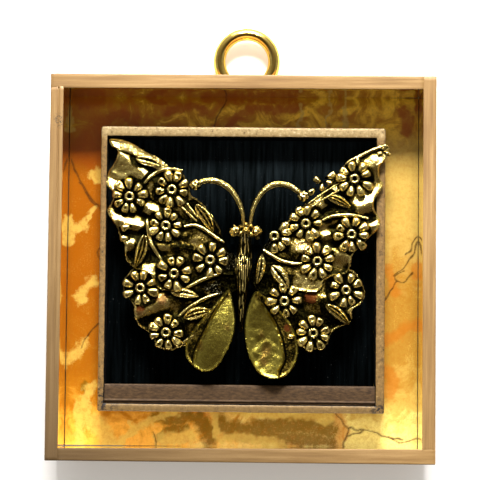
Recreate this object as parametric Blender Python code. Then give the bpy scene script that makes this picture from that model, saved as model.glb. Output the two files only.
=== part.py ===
# Framed butterfly brooch in a small gilt shadow box, built at full size in metres with +Z up.
#
# The picture faces -Y. The origin is the hanging point, at the inside top of the ring,
# so everything else lies below it and the box front is about 23 mm in front of it.
# Every piece is one closed solid. Touching pieces keep a 0.3 mm gap, as glued or pinned parts do.

import math

import bmesh
import bpy
from mathutils import Matrix, Vector

MM = 0.001
GAP = 0.3 * MM

# Hanging ring
RING_TUBE_R = 1.6 * MM
RING_LINE_R = 7.5 * MM
RING_INNER_R = RING_LINE_R - RING_TUBE_R

# Outer box: four flat rails around the marbled panel
FRAME_SIZE = 101.6 * MM
RAIL_WIDTH = 3.45 * MM
RAIL_DEPTH = 20.0 * MM
FRONT_Y = -23.4 * MM
BACK_Y = FRONT_Y + RAIL_DEPTH
FRAME_X = -0.5 * MM
FRAME_Z = -63.9 * MM
RAIL_EASE = 0.3 * MM

# Panel: marbled paper on a backing board
PAPER_Y = FRONT_Y + 16.9 * MM
PAPER_THICK = 0.4 * MM
BOARD_THICK = BACK_Y - (PAPER_Y + PAPER_THICK + GAP)
PANEL_SIZE = FRAME_SIZE - 2 * RAIL_WIDTH - 2 * GAP

# Inner frame that stands on the panel, with its black board and sill
TRAY_SIZE = 75.9 * MM
TRAY_RAIL = 1.9 * MM
TRAY_FRONT_Y = FRONT_Y + 8.5 * MM
TRAY_BACK_Y = PAPER_Y - GAP
TRAY_CORNER_R = 1.3 * MM
BOARD_FRONT_Y = TRAY_BACK_Y - 1.6 * MM
SILL_HEIGHT = 5.0 * MM
SILL_FRONT_Y = TRAY_FRONT_Y + 1.0 * MM
SILL_BEAD = 0.9 * MM

# Butterfly: its own middle, and the depths of its layers behind the box front
FLY_X = FRAME_X + 1.1 * MM
FLY_Z = FRAME_Z + 2.6 * MM
WING_BACK_Y = FRONT_Y + 7.6 * MM
HIND_FRONT_Y = FRONT_Y + 6.8 * MM
FORE_FRONT_Y = FRONT_Y + 6.3 * MM
RELIEF_Y = FRONT_Y + 5.3 * MM
CENTRE_Y = FRONT_Y + 4.7 * MM
ROOT_Y = WING_BACK_Y - 0.3 * MM
FLOWER_R = 4.6 * MM
FLOWER_PETALS = 8
LEAF_WIDTH = 3.0 * MM
STEM_WIDTH = 1.3 * MM

# Body and feelers
BODY_Y = FRONT_Y + 5.0 * MM
FEELER_R = 0.68 * MM
FEELER_Y = FRONT_Y + 4.8 * MM
FEELER_BALL_R = 1.1 * MM
EYE_R = 1.3 * MM

# Hanger at the back of the top rail
EYE_INNER_R = 2.2 * MM
STRAP_THICK = 0.8 * MM
STRAP_WIDTH = 4.0 * MM
STRAP_LENGTH = 12.0 * MM
HINGE_Z = -(RING_LINE_R + RING_INNER_R)
SCREW_HEAD_R = 1.5 * MM


def clear_scene():
    for old in list(bpy.data.objects):
        bpy.data.objects.remove(old, do_unlink=True)


def make_material(name, colour, roughness, metallic):
    material = bpy.data.materials.new(name)
    material.use_nodes = True
    shader = material.node_tree.nodes["Principled BSDF"]
    shader.inputs["Base Color"].default_value = (*colour, 1.0)
    shader.inputs["Roughness"].default_value = roughness
    shader.inputs["Metallic"].default_value = metallic
    return material


def add_object(name, bm, material):
    """Turns a closed bmesh into a named object with its faces outward."""
    bmesh.ops.remove_doubles(bm, verts=bm.verts, dist=1e-7)
    bmesh.ops.recalc_face_normals(bm, faces=bm.faces)
    mesh = bpy.data.meshes.new(name)
    bm.to_mesh(mesh)
    bm.free()
    mesh.materials.append(material)
    obj = bpy.data.objects.new(name, mesh)
    bpy.context.scene.collection.objects.link(obj)
    return obj


def loft(rings, closed=False):
    """A closed solid through rings of equal point counts, with flat ends unless it closes on itself."""
    bm = bmesh.new()
    rows = [[bm.verts.new(p) for p in ring] for ring in rings]
    count = len(rows[0])
    pairs = list(zip(rows, rows[1:]))
    if closed:
        pairs.append((rows[-1], rows[0]))
    for a, b in pairs:
        for i in range(count):
            j = (i + 1) % count
            bm.faces.new((a[i], a[j], b[j], b[i]))
    if not closed:
        bm.faces.new(rows[0])
        bm.faces.new(list(reversed(rows[-1])))
    return bm


def box(lo, hi, ease=0.0):
    """A box between two corners, with its long edges eased by a small chamfer."""
    bm = bmesh.new()
    bmesh.ops.create_cube(bm, size=1.0)
    size = Vector(hi) - Vector(lo)
    middle = (Vector(hi) + Vector(lo)) / 2
    bmesh.ops.scale(bm, vec=size, verts=bm.verts)
    bmesh.ops.translate(bm, vec=middle, verts=bm.verts)
    if ease:
        bmesh.ops.bevel(bm, geom=bm.edges[:], offset=ease, segments=1, affect="EDGES")
    return bm


def slab(outline, front_y, back_y):
    """A straight plate of an outline of (x, z) points."""
    return loft([[(x, y, z) for x, z in outline] for y in (front_y, back_y)])


def mound(outline, middle, front_y, back_y, top=0.7):
    """A raised form of an outline: straight to half its height, then drawn in towards its middle."""
    cx, cz = middle
    shoulder = (front_y + back_y) / 2
    drawn = [(cx + (x - cx) * top, cz + (z - cz) * top) for x, z in outline]
    return loft([
        [(x, back_y, z) for x, z in outline],
        [(x, shoulder, z) for x, z in outline],
        [(x, front_y, z) for x, z in drawn],
    ])


def fly(points):
    """Points given in millimetres from the butterfly's middle, in the part's own metres."""
    return [(FLY_X + x * MM, FLY_Z + z * MM) for x, z in points]


def smooth_path(points, steps=4):
    """A Catmull-Rom curve through the points."""
    pts = [Vector(p) for p in points]
    ends = [2 * pts[0] - pts[1]] + pts + [2 * pts[-1] - pts[-2]]
    out = []
    for a, b, c, d in zip(ends, ends[1:], ends[2:], ends[3:]):
        for k in range(steps):
            t = k / steps
            out.append(0.5 * (2 * b + (c - a) * t + (2 * a - 5 * b + 4 * c - d) * t * t
                              + (3 * b - a - 3 * c + d) * t ** 3))
    out.append(pts[-1])
    return out


def flower_outline(middle, radius, turn=0.0):
    """Round petals that meet in notches at three quarters of the radius."""
    points = []
    steps = 4
    for k in range(FLOWER_PETALS * steps):
        angle = turn + 2 * math.pi * k / (FLOWER_PETALS * steps)
        reach = radius * (0.76 + 0.24 * abs(math.sin(math.pi * k / steps)) ** 0.6)
        points.append((middle[0] + reach * math.cos(angle), middle[1] + reach * math.sin(angle)))
    return points


def leaf_outline(tip_a, tip_b, width):
    """A pointed leaf between its two tips."""
    a, b = Vector(tip_a), Vector(tip_b)
    side = Vector((a.y - b.y, b.x - a.x)).normalized() * width / 2
    bulge = [(t, math.sin(math.pi * t) ** 0.8) for t in (0.18, 0.38, 0.6, 0.82)]
    left = [a.lerp(b, t) + side * w for t, w in bulge]
    right = [a.lerp(b, t) - side * w for t, w in reversed(bulge)]
    return [tuple(p) for p in [a, *left, b, *right]]


def strip_outline(path, width):
    """A band of even width along a curved path."""
    pts = [Vector(p) for p in path]
    left, right = [], []
    for i, p in enumerate(pts):
        along = (pts[min(i + 1, len(pts) - 1)] - pts[max(i - 1, 0)]).normalized()
        side = Vector((-along.y, along.x)) * width / 2
        left.append(tuple(p + side))
        right.append(tuple(p - side))
    return left + right[::-1]


def circle_outline(middle, radius, count=8):
    turns = [2 * math.pi * k / count for k in range(count)]
    return [(middle[0] + radius * math.cos(t), middle[1] + radius * math.sin(t)) for t in turns]


def tube(path, radius, sides=8):
    """A round bar along a path of 3-D points."""
    rings = []
    for i, p in enumerate(path):
        along = (path[min(i + 1, len(path) - 1)] - path[max(i - 1, 0)]).normalized()
        across = along.cross(Vector((0, 1, 0))).normalized()
        up = across.cross(along)
        rings.append([p + (across * math.cos(t) + up * math.sin(t)) * radius
                      for t in (2 * math.pi * k / sides for k in range(sides))])
    return loft(rings)


def ball(middle, radius, squash=1.0):
    bm = bmesh.new()
    bmesh.ops.create_icosphere(bm, subdivisions=2, radius=radius)
    bmesh.ops.scale(bm, vec=(1, squash, 1), verts=bm.verts)
    bmesh.ops.translate(bm, vec=middle, verts=bm.verts)
    return bm


def fuse(name, solids, material):
    """Joins overlapping solids into one closed body."""
    base = add_object(name, solids[0], material)
    for bm in solids[1:]:
        extra = add_object(name + "_piece", bm, material)
        union = base.modifiers.new("union", "BOOLEAN")
        union.operation = "UNION"
        union.solver = "EXACT"
        union.object = extra
        bpy.context.view_layer.update()
        graph = bpy.context.evaluated_depsgraph_get()
        joined = bpy.data.meshes.new_from_object(base.evaluated_get(graph))
        base.modifiers.clear()
        base.data = joined
        bpy.data.objects.remove(extra, do_unlink=True)
    return base


# Outer box
# Rails meet in a pinwheel of butt joints: each one runs on past the end of the next.
def build_outer_rails(material):
    half = FRAME_SIZE / 2
    long_side = half - RAIL_WIDTH - GAP
    inner = half - RAIL_WIDTH
    spans = {
        "frame_rail_top": ((-half, inner), (long_side, half)),
        "frame_rail_right": ((inner, -long_side), (half, half)),
        "frame_rail_bottom": ((-long_side, -half), (half, -inner)),
        "frame_rail_left": ((-half, -half), (-inner, long_side)),
    }
    for name, ((x0, z0), (x1, z1)) in spans.items():
        lo = (FRAME_X + x0, FRONT_Y, FRAME_Z + z0)
        hi = (FRAME_X + x1, BACK_Y, FRAME_Z + z1)
        add_object(name, box(lo, hi, RAIL_EASE), material)


# Panel
# The printed paper lies on its board; the board's back is level with the rails' backs.
def build_panel(paper, board):
    half = PANEL_SIZE / 2
    lo, hi = (FRAME_X - half, FRAME_Z - half), (FRAME_X + half, FRAME_Z + half)
    front, back = PAPER_Y, PAPER_Y + PAPER_THICK
    add_object("marbled_paper", box((lo[0], front, lo[1]), (hi[0], back, hi[1])), paper)
    add_object("backing_board", box((lo[0], BACK_Y - BOARD_THICK, lo[1]), (hi[0], BACK_Y, hi[1])), board)


# Inner frame
# One square ring of thin rails with softly rounded corners.
def rounded_square(half, radius, steps=3):
    points = []
    for corner, (sx, sz) in enumerate(((1, 1), (-1, 1), (-1, -1), (1, -1))):
        for k in range(steps + 1):
            angle = math.pi / 2 * (corner + k / steps)
            points.append((FRAME_X + sx * (half - radius) + radius * math.cos(angle),
                           FRAME_Z + sz * (half - radius) + radius * math.sin(angle)))
    return points


def build_inner_frame(material):
    ease = 0.35 * MM
    half, hole = TRAY_SIZE / 2, TRAY_SIZE / 2 - TRAY_RAIL
    hole_r = 0.4 * MM
    stations = [
        (half, TRAY_CORNER_R, TRAY_BACK_Y),
        (half, TRAY_CORNER_R, TRAY_FRONT_Y + ease),
        (half - ease, TRAY_CORNER_R, TRAY_FRONT_Y),
        (hole + ease, hole_r, TRAY_FRONT_Y),
        (hole, hole_r, TRAY_FRONT_Y + ease),
        (hole, hole_r, TRAY_BACK_Y),
    ]
    rings = [[(x, y, z) for x, z in rounded_square(h, r)] for h, r, y in stations]
    add_object("inner_frame", loft(rings, closed=True), material)


def build_inner_board(board, bronze):
    half = TRAY_SIZE / 2 - TRAY_RAIL - GAP
    lo = (FRAME_X - half, BOARD_FRONT_Y, FRAME_Z - half)
    hi = (FRAME_X + half, TRAY_BACK_Y, FRAME_Z + half)
    add_object("black_board", box(lo, hi), board)
    # The sill is a strip along the bottom, with a raised bead near its lower edge.
    floor = FRAME_Z - half
    back, face, bead = BOARD_FRONT_Y - GAP, SILL_FRONT_Y, SILL_FRONT_Y - 0.4 * MM
    profile = [
        (back, floor), (face, floor), (face, floor + 0.3 * MM), (bead, floor + 0.5 * MM),
        (bead, floor + SILL_BEAD), (face, floor + SILL_BEAD + 0.3 * MM),
        (face, floor + SILL_HEIGHT - 0.3 * MM), (face + 0.3 * MM, floor + SILL_HEIGHT),
        (back, floor + SILL_HEIGHT),
    ]
    ends = [[(x, y, z) for y, z in profile] for x in (lo[0], hi[0])]
    add_object("sill", loft(ends), bronze)


# Wings
# Each side is one pressed sheet: a forewing step over a hindwing, with flowers, leaves and stems
# raised on it and a smooth folded lobe below. All outlines are in millimetres from the middle.
LEFT_FORE = [
    (-37.3, 31.7), (-31.5, 30.6), (-25.6, 28.0), (-21.8, 25.4), (-17.5, 23.5), (-15.9, 20.6),
    (-13.7, 15.6), (-10.5, 14.0), (-8.3, 10.8), (-5.6, 5.5), (-3.4, 2.0), (-2.7, -2.0),
    (-2.7, -5.0), (-10.0, -6.4), (-18.0, -8.4), (-24.0, -6.4), (-29.6, -3.2), (-32.3, 0.0),
    (-32.9, 3.1), (-34.8, 6.3), (-37.0, 11.1), (-36.0, 15.9), (-37.7, 19.1), (-37.3, 23.4),
    (-35.4, 28.2),
]
LEFT_HIND = [
    (-2.7, -3.0), (-2.7, -8.6), (-6.0, -11.0), (-10.0, -18.0), (-13.6, -22.6), (-16.9, -23.2),
    (-21.2, -24.0), (-23.8, -22.7), (-24.6, -19.6), (-27.3, -18.0), (-29.5, -15.4),
    (-30.0, -12.2), (-32.8, -8.5), (-32.2, -4.3), (-28.6, -2.6), (-16.0, -2.0),
]
RIGHT_FORE = [
    (37.5, 30.6), (36.1, 31.2), (31.3, 29.3), (26.5, 26.6), (25.3, 25.0), (22.9, 22.8),
    (18.1, 21.7), (16.3, 18.0), (15.3, 14.2), (10.2, 8.9), (6.6, 6.7), (4.5, 4.6), (2.9, 1.3),
    (2.7, -5.0), (9.0, -5.6), (15.0, -6.6), (19.9, -8.0), (22.5, -4.6), (27.3, -3.4),
    (28.5, 1.1), (31.7, 5.1), (34.3, 7.5), (35.6, 11.2), (33.7, 16.0), (35.8, 20.8), (35.2, 25.1),
]
RIGHT_HIND = [
    (2.7, -3.0), (2.7, -8.6), (6.0, -12.5), (9.5, -18.0), (13.4, -21.8), (16.3, -22.8),
    (19.5, -23.6), (22.1, -22.8), (24.9, -19.1), (28.1, -16.4), (28.6, -13.2), (31.0, -12.1),
    (31.5, -7.9), (27.8, -3.0), (16.0, -2.0),
]
LEFT_FLOWERS = [
    (-31.0, 15.9), (-19.8, 17.9), (-21.3, 8.3), (-9.5, -0.6), (-19.0, -4.2), (-28.0, -8.0),
    (-20.9, -20.1),
]
RIGHT_FLOWERS = [
    (28.4, 21.3), (15.8, 9.2), (28.0, 6.6), (18.8, -0.4), (26.5, -8.0), (10.2, -11.0),
    (17.9, -19.7),
]
LEFT_LEAVES = [
    ((-30.5, 23.6), (-23.6, 26.2)), ((-14.0, 14.2), (-7.4, 7.2)), ((-28.4, 5.2), (-27.8, -2.6)),
    ((-20.6, -11.8), (-12.4, -8.6)), ((-17.0, -17.2), (-8.8, -13.8)),
]
RIGHT_LEAVES = [
    ((20.6, 16.6), (28.2, 13.8)), ((4.2, 2.6), (3.9, -5.4)), ((6.4, -6.4), (12.0, -2.6)),
    ((21.2, -17.2), (27.4, -13.4)),
]
LEFT_STEMS = [
    [(-27.3, 20.2), (-22.8, 23.2), (-17.5, 23.2)], [(-16.5, 8.3), (-11.5, 7.9), (-5.6, 4.5)],
    [(-26.6, 10.1), (-26.1, 5.3), (-23.6, 0.0)], [(-15.3, -7.6), (-10.3, -5.1), (-4.5, -3.5)],
    [(-17.8, -15.5), (-13.4, -12.1), (-6.0, -9.3)], [(-16.2, -21.8), (-12.2, -19.4), (-9.6, -14.1)],
]
RIGHT_STEMS = [
    [(20.6, 11.1), (26.1, 12.5), (32.2, 11.5)], [(4.5, 2.0), (8.7, -0.2), (14.0, -0.9)],
    [(7.6, 7.0), (16.5, 15.4), (25.0, 19.1)],
]
# Each lobe is a lower leaf with a raised panel inside its fold line.
LEFT_LOBE = [
    (-4.6, -8.2), (-3.4, -11.2), (-2.7, -14.7), (-2.7, -18.2), (-3.5, -21.7), (-5.1, -25.2),
    (-7.0, -28.1), (-9.0, -29.9), (-11.4, -29.8), (-13.7, -28.5), (-15.4, -26.5), (-15.9, -24.2),
    (-15.3, -21.2), (-12.4, -17.1), (-8.3, -12.4),
]
LEFT_PANEL = [
    (-5.4, -10.4), (-3.9, -12.8), (-3.3, -16.5), (-3.5, -20.0), (-5.2, -24.3), (-7.4, -27.5),
    (-9.6, -29.0), (-12.3, -28.2), (-13.2, -25.6), (-12.3, -23.2), (-10.5, -19.6), (-8.2, -14.8),
]
RIGHT_LOBE = [
    (2.5, -8.6), (0.9, -11.7), (0.1, -14.6), (-0.3, -18.2), (0.0, -21.7), (0.8, -25.2), (2.1, -28.1),
    (4.0, -30.4), (7.1, -31.7), (10.3, -31.0), (12.6, -28.8), (13.8, -25.9), (14.0, -22.7),
    (13.1, -19.2), (11.0, -15.7), (8.1, -12.5), (5.1, -9.9),
]
RIGHT_PANEL = [
    (2.9, -10.6), (1.5, -13.5), (0.7, -18.2), (0.9, -22.5), (2.2, -26.5), (4.4, -29.2), (7.2, -30.3),
    (8.9, -28.8), (9.7, -26.2), (9.4, -22.8), (8.2, -18.6), (6.1, -14.8),
]


def build_wing(name, fore, hind, flowers, leaves, stems, lobe, panel, material):
    solids = [slab(fly(fore), FORE_FRONT_Y, WING_BACK_Y), slab(fly(hind), HIND_FRONT_Y, WING_BACK_Y)]
    layers = ((fly(lobe), RELIEF_Y + 0.8 * MM, 0.9), (fly(panel), RELIEF_Y + 0.1 * MM, 0.75))
    for outline, front_y, top in layers:
        middle = [sum(p[i] for p in outline) / len(outline) for i in (0, 1)]
        solids.append(mound(outline, middle, front_y, WING_BACK_Y - 0.05 * MM, top))
    for path in stems:
        curve = [tuple(p) for p in smooth_path(fly(path), 3)]
        solids.append(slab(strip_outline(curve, STEM_WIDTH), RELIEF_Y + 0.35 * MM, ROOT_Y))
    for tip_a, tip_b in leaves:
        a, b = fly([tip_a, tip_b])
        middle = ((a[0] + b[0]) / 2, (a[1] + b[1]) / 2)
        solids.append(mound(leaf_outline(a, b, LEAF_WIDTH), middle, RELIEF_Y + 0.1 * MM, ROOT_Y, top=0.6))
    for k, centre in enumerate(flowers):
        middle = fly([centre])[0]
        solids.append(mound(flower_outline(middle, FLOWER_R, 0.2 * k), middle, RELIEF_Y, ROOT_Y, top=0.8))
        solids.append(mound(circle_outline(middle, 1.35 * MM), middle, CENTRE_Y, ROOT_Y, top=0.7))
    return fuse(name, solids, material)


# Body
# A tapered, lengthwise body with a round head and two ball eyes.
def build_body(material):
    # (height, half width, front reach) in millimetres from the middle
    stations = [
        (-19.2, 0.35, 0.5), (-17.6, 0.5, 0.7), (-14.6, 0.65, 0.9), (-8.8, 1.3, 1.5), (-4.0, 1.75, 2.0),
        (0.5, 2.0, 2.3), (4.0, 2.0, 2.2), (5.4, 1.6, 1.8), (6.6, 2.0, 2.1), (7.8, 1.6, 1.7),
        (8.3, 0.8, 0.9),
    ]
    sides = 12
    rings = []
    for z, half_width, reach in stations:
        x = FLY_X + (-0.1 + z * 0.02) * MM
        ring = []
        for k in range(sides):
            turn = 2 * math.pi * k / sides
            depth = -math.sin(turn) * reach if math.sin(turn) > 0 else -math.sin(turn) * 1.6
            ring.append((x + math.cos(turn) * half_width * MM, BODY_Y + depth * MM, FLY_Z + z * MM))
        rings.append(ring)
    solids = [loft(rings)]
    for x, z in ((-3.0, 7.1), (2.6, 7.2)):
        solids.append(ball((FLY_X + x * MM, BODY_Y - 0.3 * MM, FLY_Z + z * MM), EYE_R))
    fuse("body", solids, material)


LEFT_FEELER = [
    (-0.75, 8.8), (-1.0, 11.9), (-1.9, 14.6), (-3.4, 17.2), (-5.2, 19.0), (-7.4, 20.2), (-9.8, 20.6),
    (-12.1, 20.2), (-13.9, 19.3),
]
RIGHT_FEELER = [
    (0.95, 8.8), (1.5, 12.4), (2.7, 15.4), (4.4, 17.9), (6.8, 19.5), (9.2, 19.8), (11.7, 19.1),
    (13.7, 17.8), (15.1, 16.4),
]


def build_feeler(name, points, material):
    """A bent wire that grows from the head and ends in a ball."""
    path = [Vector((FLY_X + x * MM, FEELER_Y, FLY_Z + z * MM)) for x, z in points]
    curve = smooth_path(path, 2)
    fuse(name, [tube(curve, FEELER_R), ball(path[-1], FEELER_BALL_R)], material)


# Post
# A block from the black board to the back of the wings carries the brooch.
def build_post(material):
    lo = (FLY_X - 4.5 * MM, WING_BACK_Y + GAP, FLY_Z - 8.0 * MM)
    hi = (FLY_X + 4.5 * MM, BOARD_FRONT_Y - GAP, FLY_Z + 4.0 * MM)
    add_object("mounting_post", box(lo, hi), material)


# Hanger
# A folded strap holds the ring's lowest arc in its eye; a round-head screw pins it to the board.
def build_strap(brass):
    outer_r = EYE_INNER_R + STRAP_THICK
    plate_front, plate_back = BACK_Y + GAP, BACK_Y + GAP + STRAP_THICK
    count = 16
    half = STRAP_WIDTH / 2

    def eye(radius, x):
        turns = [2 * math.pi * k / count for k in range(count)]
        return [(x, radius * math.cos(t), HINGE_Z + radius * math.sin(t)) for t in turns]

    rings = [eye(outer_r, -half), eye(outer_r, half), eye(EYE_INNER_R, half), eye(EYE_INNER_R, -half)]
    # The tongue runs from inside the eye's wall down the back of the box.
    tongue = box((-half, plate_front, HINGE_Z - STRAP_LENGTH), (half, plate_back, HINGE_Z - 1.6 * MM))
    fuse("ring_strap", [loft(rings, closed=True), tongue], brass)

    head = bmesh.new()
    bmesh.ops.create_uvsphere(head, u_segments=12, v_segments=6, radius=SCREW_HEAD_R)
    for v in head.verts:
        v.co = Vector((v.co.x, max(v.co.z, 0.0) * 0.55, v.co.y))
    bmesh.ops.remove_doubles(head, verts=head.verts, dist=1e-6)
    bmesh.ops.dissolve_degenerate(head, dist=1e-7, edges=head.edges)
    bmesh.ops.translate(head, vec=(0, plate_back + GAP, HINGE_Z - STRAP_LENGTH + 3.0 * MM), verts=head.verts)
    add_object("strap_screw", head, brass)


def build_ring(brass):
    # The ring's own origin is on the hinge line, through the middle of its lowest arc.
    around, sides = 32, 12
    rings = []
    for k in range(around):
        turn = 2 * math.pi * k / around
        out = Vector((math.cos(turn), 0, math.sin(turn)))
        middle = out * RING_LINE_R + Vector((0, 0, RING_LINE_R))
        rings.append([middle + (out * math.cos(t) + Vector((0, 1, 0)) * math.sin(t)) * RING_TUBE_R
                      for t in (2 * math.pi * j / sides for j in range(sides))])
    ring = add_object("hanging_ring", loft(rings, closed=True), brass)
    ring.matrix_world = Matrix.Translation((0, 0, HINGE_Z))


def main():
    clear_scene()
    gilt = make_material("gold_paint", (0.66, 0.46, 0.24), 0.45, 0.0)
    inner_gilt = make_material("worn_gilt", (0.50, 0.34, 0.15), 0.55, 0.0)
    paper = make_material("marbled_paper", (0.72, 0.30, 0.03), 0.2, 0.0)
    board = make_material("backing_card", (0.32, 0.24, 0.15), 0.9, 0.0)
    black = make_material("black_card", (0.01, 0.01, 0.012), 0.85, 0.0)
    bronze = make_material("bronze_sill", (0.19, 0.13, 0.09), 0.5, 0.0)
    gold = make_material("antique_gold", (0.70, 0.48, 0.18), 0.35, 1.0)
    brass = make_material("brass", (0.78, 0.58, 0.28), 0.25, 1.0)

    build_outer_rails(gilt)
    build_panel(paper, board)
    build_inner_frame(inner_gilt)
    build_inner_board(black, bronze)
    build_wing("wing_left", LEFT_FORE, LEFT_HIND, LEFT_FLOWERS, LEFT_LEAVES, LEFT_STEMS, LEFT_LOBE,
               LEFT_PANEL, gold)
    build_wing("wing_right", RIGHT_FORE, RIGHT_HIND, RIGHT_FLOWERS, RIGHT_LEAVES, RIGHT_STEMS, RIGHT_LOBE,
               RIGHT_PANEL, gold)
    build_body(gold)
    build_feeler("feeler_left", LEFT_FEELER, gold)
    build_feeler("feeler_right", RIGHT_FEELER, gold)
    build_post(black)
    build_strap(brass)
    build_ring(brass)


main()
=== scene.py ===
# %% [markdown]
# # Framed butterfly brooch
# A metal butterfly brooch sits in a small gilt box that hangs from a brass ring. It could be modelled by
# itself, but here it is built round the imported model, whose plain solids fix every size and place. The
# model's box is kept.

# %% Load the imported model
import math

import bmesh
import bpy
import numpy as np
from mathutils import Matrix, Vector, noise
from mathutils.geometry import delaunay_2d_cdt


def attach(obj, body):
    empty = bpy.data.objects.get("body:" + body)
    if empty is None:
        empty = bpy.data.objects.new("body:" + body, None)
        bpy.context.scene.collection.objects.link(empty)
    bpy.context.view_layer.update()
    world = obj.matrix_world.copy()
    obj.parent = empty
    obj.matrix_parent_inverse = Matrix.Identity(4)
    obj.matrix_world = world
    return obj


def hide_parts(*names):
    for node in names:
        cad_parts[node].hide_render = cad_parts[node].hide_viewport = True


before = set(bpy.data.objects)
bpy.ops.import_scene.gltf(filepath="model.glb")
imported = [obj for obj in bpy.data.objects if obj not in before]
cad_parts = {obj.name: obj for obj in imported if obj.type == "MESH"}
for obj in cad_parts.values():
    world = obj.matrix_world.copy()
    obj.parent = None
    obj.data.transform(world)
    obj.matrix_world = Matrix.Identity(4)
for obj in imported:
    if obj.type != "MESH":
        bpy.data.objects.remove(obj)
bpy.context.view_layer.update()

MM = 0.001

# %% [markdown]
# Two sets of coordinates are used. The box's pieces are placed from the middle of its front, and the
# butterfly from its own middle. Both are in millimetres: x to the right, z up, and depth behind the
# box's front edge. One set would do, but a maker measures each thing from itself.

# %% Places
FRONT_Y = -23.4
BOX_X, BOX_Z = -0.5, -63.9
FLY_X, FLY_Z = 0.6, -61.3


def from_middle(middle_x, middle_z, x, z, depth):
    x, y, z = (np.asarray(v, float) for v in (x, depth, z))
    return np.stack(np.broadcast_arrays(middle_x + x, FRONT_Y + y, middle_z + z), -1) * MM


def box_at(x, z, depth):
    return from_middle(BOX_X, BOX_Z, x, z, depth)


def fly_at(x, z, depth):
    return from_middle(FLY_X, FLY_Z, x, z, depth)


print("middle of the box", (BOX_X, BOX_Z), "and of the butterfly", (FLY_X, FLY_Z))

# %% [markdown]
# Every piece is a plain closed mesh with a number at each point, the attribute "dark". It says where the
# antique finish stays in the hollows: 0 is polished metal and 1 is black. On the wings, body, head, feelers
# and petals it also holds painted shade, and on the wings painted highlights where it is cleared. Dirt could
# be found by the renderer from the mesh's hollows, but a kept number looks the same everywhere and can be
# exported.

# %% Making a piece
def set_dark(mesh, values):
    layer = mesh.attributes.get("dark") or mesh.attributes.new("dark", "FLOAT", "POINT")
    layer.data.foreach_set("value", np.asarray(values, np.float32))


def add_piece(name, verts, faces, material, dark=None, body="frame", stands_for=(), sharp=40):
    mesh = bpy.data.meshes.new(name)
    mesh.from_pydata([tuple(v) for v in verts], [], [tuple(int(i) for i in f) for f in faces])
    mesh.validate()
    bm = bmesh.new()
    bm.from_mesh(mesh)
    bmesh.ops.recalc_face_normals(bm, faces=bm.faces)
    bm.to_mesh(mesh)
    bm.free()
    if dark is not None:
        set_dark(mesh, np.clip(np.asarray(dark, float), 0, 1))
    mesh.materials.append(material)
    mesh.shade_smooth()
    mesh.set_sharp_from_angle(angle=math.radians(sharp))
    obj = bpy.data.objects.new(name, mesh)
    bpy.context.scene.collection.objects.link(obj)
    return hand_in(obj, body, stands_for)


def hand_in(obj, body="frame", stands_for=()):
    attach(obj, body)
    if stands_for:
        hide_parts(*stands_for)
    print(f"{obj.name}: {len(obj.data.polygons)} faces")
    return obj

# %% [markdown]
# A finish is a tree of shader nodes. Nodes can be placed by hand in the editor, but a few helpers that
# add a node, mix two colours or do a sum keep each finish down to a few readable lines.

# %% Node helpers
def new_material(name):
    material = bpy.data.materials.new(name)
    material.use_nodes = True
    tree = material.node_tree
    return material, tree, tree.nodes["Principled BSDF"]


def put(tree, socket, value):
    """Joins an input to an earlier output, or sets it to a number or a colour."""
    if hasattr(value, "is_output"):
        tree.links.new(value, socket)
    elif isinstance(value, tuple):
        socket.default_value = (*value, 1.0)
    else:
        socket.default_value = value


def fit(tree, shader, **sockets):
    """Joins or sets several of a shader's inputs at once."""
    for name, value in sockets.items():
        put(tree, shader.inputs[name.replace("_", " ")], value)


def node(tree, kind, links=None, **values):
    """Adds a node; values set sockets or settings, and links join earlier sockets to its inputs."""
    made = tree.nodes.new(kind)
    for key, value in values.items():
        if hasattr(made, key):
            setattr(made, key, value)
        else:
            made.inputs[key.replace("_", " ")].default_value = value
    for socket, source in (links or {}).items():
        tree.links.new(source, made.inputs[socket])
    return made


def mix(tree, share, a, b, blend="MIX"):
    """A colour mix; share, a and b are sockets or plain values."""
    made = node(tree, "ShaderNodeMix", data_type="RGBA", blend_type=blend)
    for socket, value in ((made.inputs[0], share), (made.inputs[6], a), (made.inputs[7], b)):
        put(tree, socket, value)
    return made.outputs[2]


def maths(tree, operation, *terms, clamp=False):
    made = node(tree, "ShaderNodeMath", operation=operation, use_clamp=clamp)
    for socket, value in zip(made.inputs, terms):
        put(tree, socket, value)
    return made.outputs[0]


def curve_of(tree, source, *stops):
    """A colour ramp; each stop is (place, grey or colour)."""
    made = node(tree, "ShaderNodeValToRGB", {0: source})
    elements = made.color_ramp.elements
    while len(elements) < len(stops):
        elements.new(0.5)
    for element, (place, value) in zip(elements, stops):
        element.position = place
        element.color = (*value, 1) if isinstance(value, tuple) else (value, value, value, 1)
    return made.outputs[0]


def stretched(tree, output, scale):
    where = tree.nodes.new("ShaderNodeTexCoord").outputs[output]
    return node(tree, "ShaderNodeMapping", {"Vector": where}, Scale=scale).outputs[0]


def coords(tree, scale=(1, 1, 1)):
    """Object coordinates in millimetres, stretched by scale."""
    return stretched(tree, "Object", [s * 1000 for s in scale])


def noise_of(tree, where, scale, detail=3.0, roughness=0.55, distortion=0.0):
    made = node(tree, "ShaderNodeTexNoise", {"Vector": where}, Scale=scale, Detail=detail,
                Roughness=roughness, Distortion=distortion)
    return made.outputs["Fac"]


def bump(tree, height, strength, distance_mm):
    made = node(tree, "ShaderNodeBump", {"Height": height}, Strength=strength, Distance=distance_mm * MM)
    return made.outputs[0]


print("helpers for shader nodes are ready")

# %% [markdown]
# The antique gold is polished metal where it was rubbed and nearly black in the hollows, with a few rusty
# places, bare spots and a warmer tone by the head. Layers of paint could do it, but one node group turns
# the "dark" attribute into a colour, a roughness and a normal, broken up by fine noise, and every gold
# finish can use it with its own values.

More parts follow.
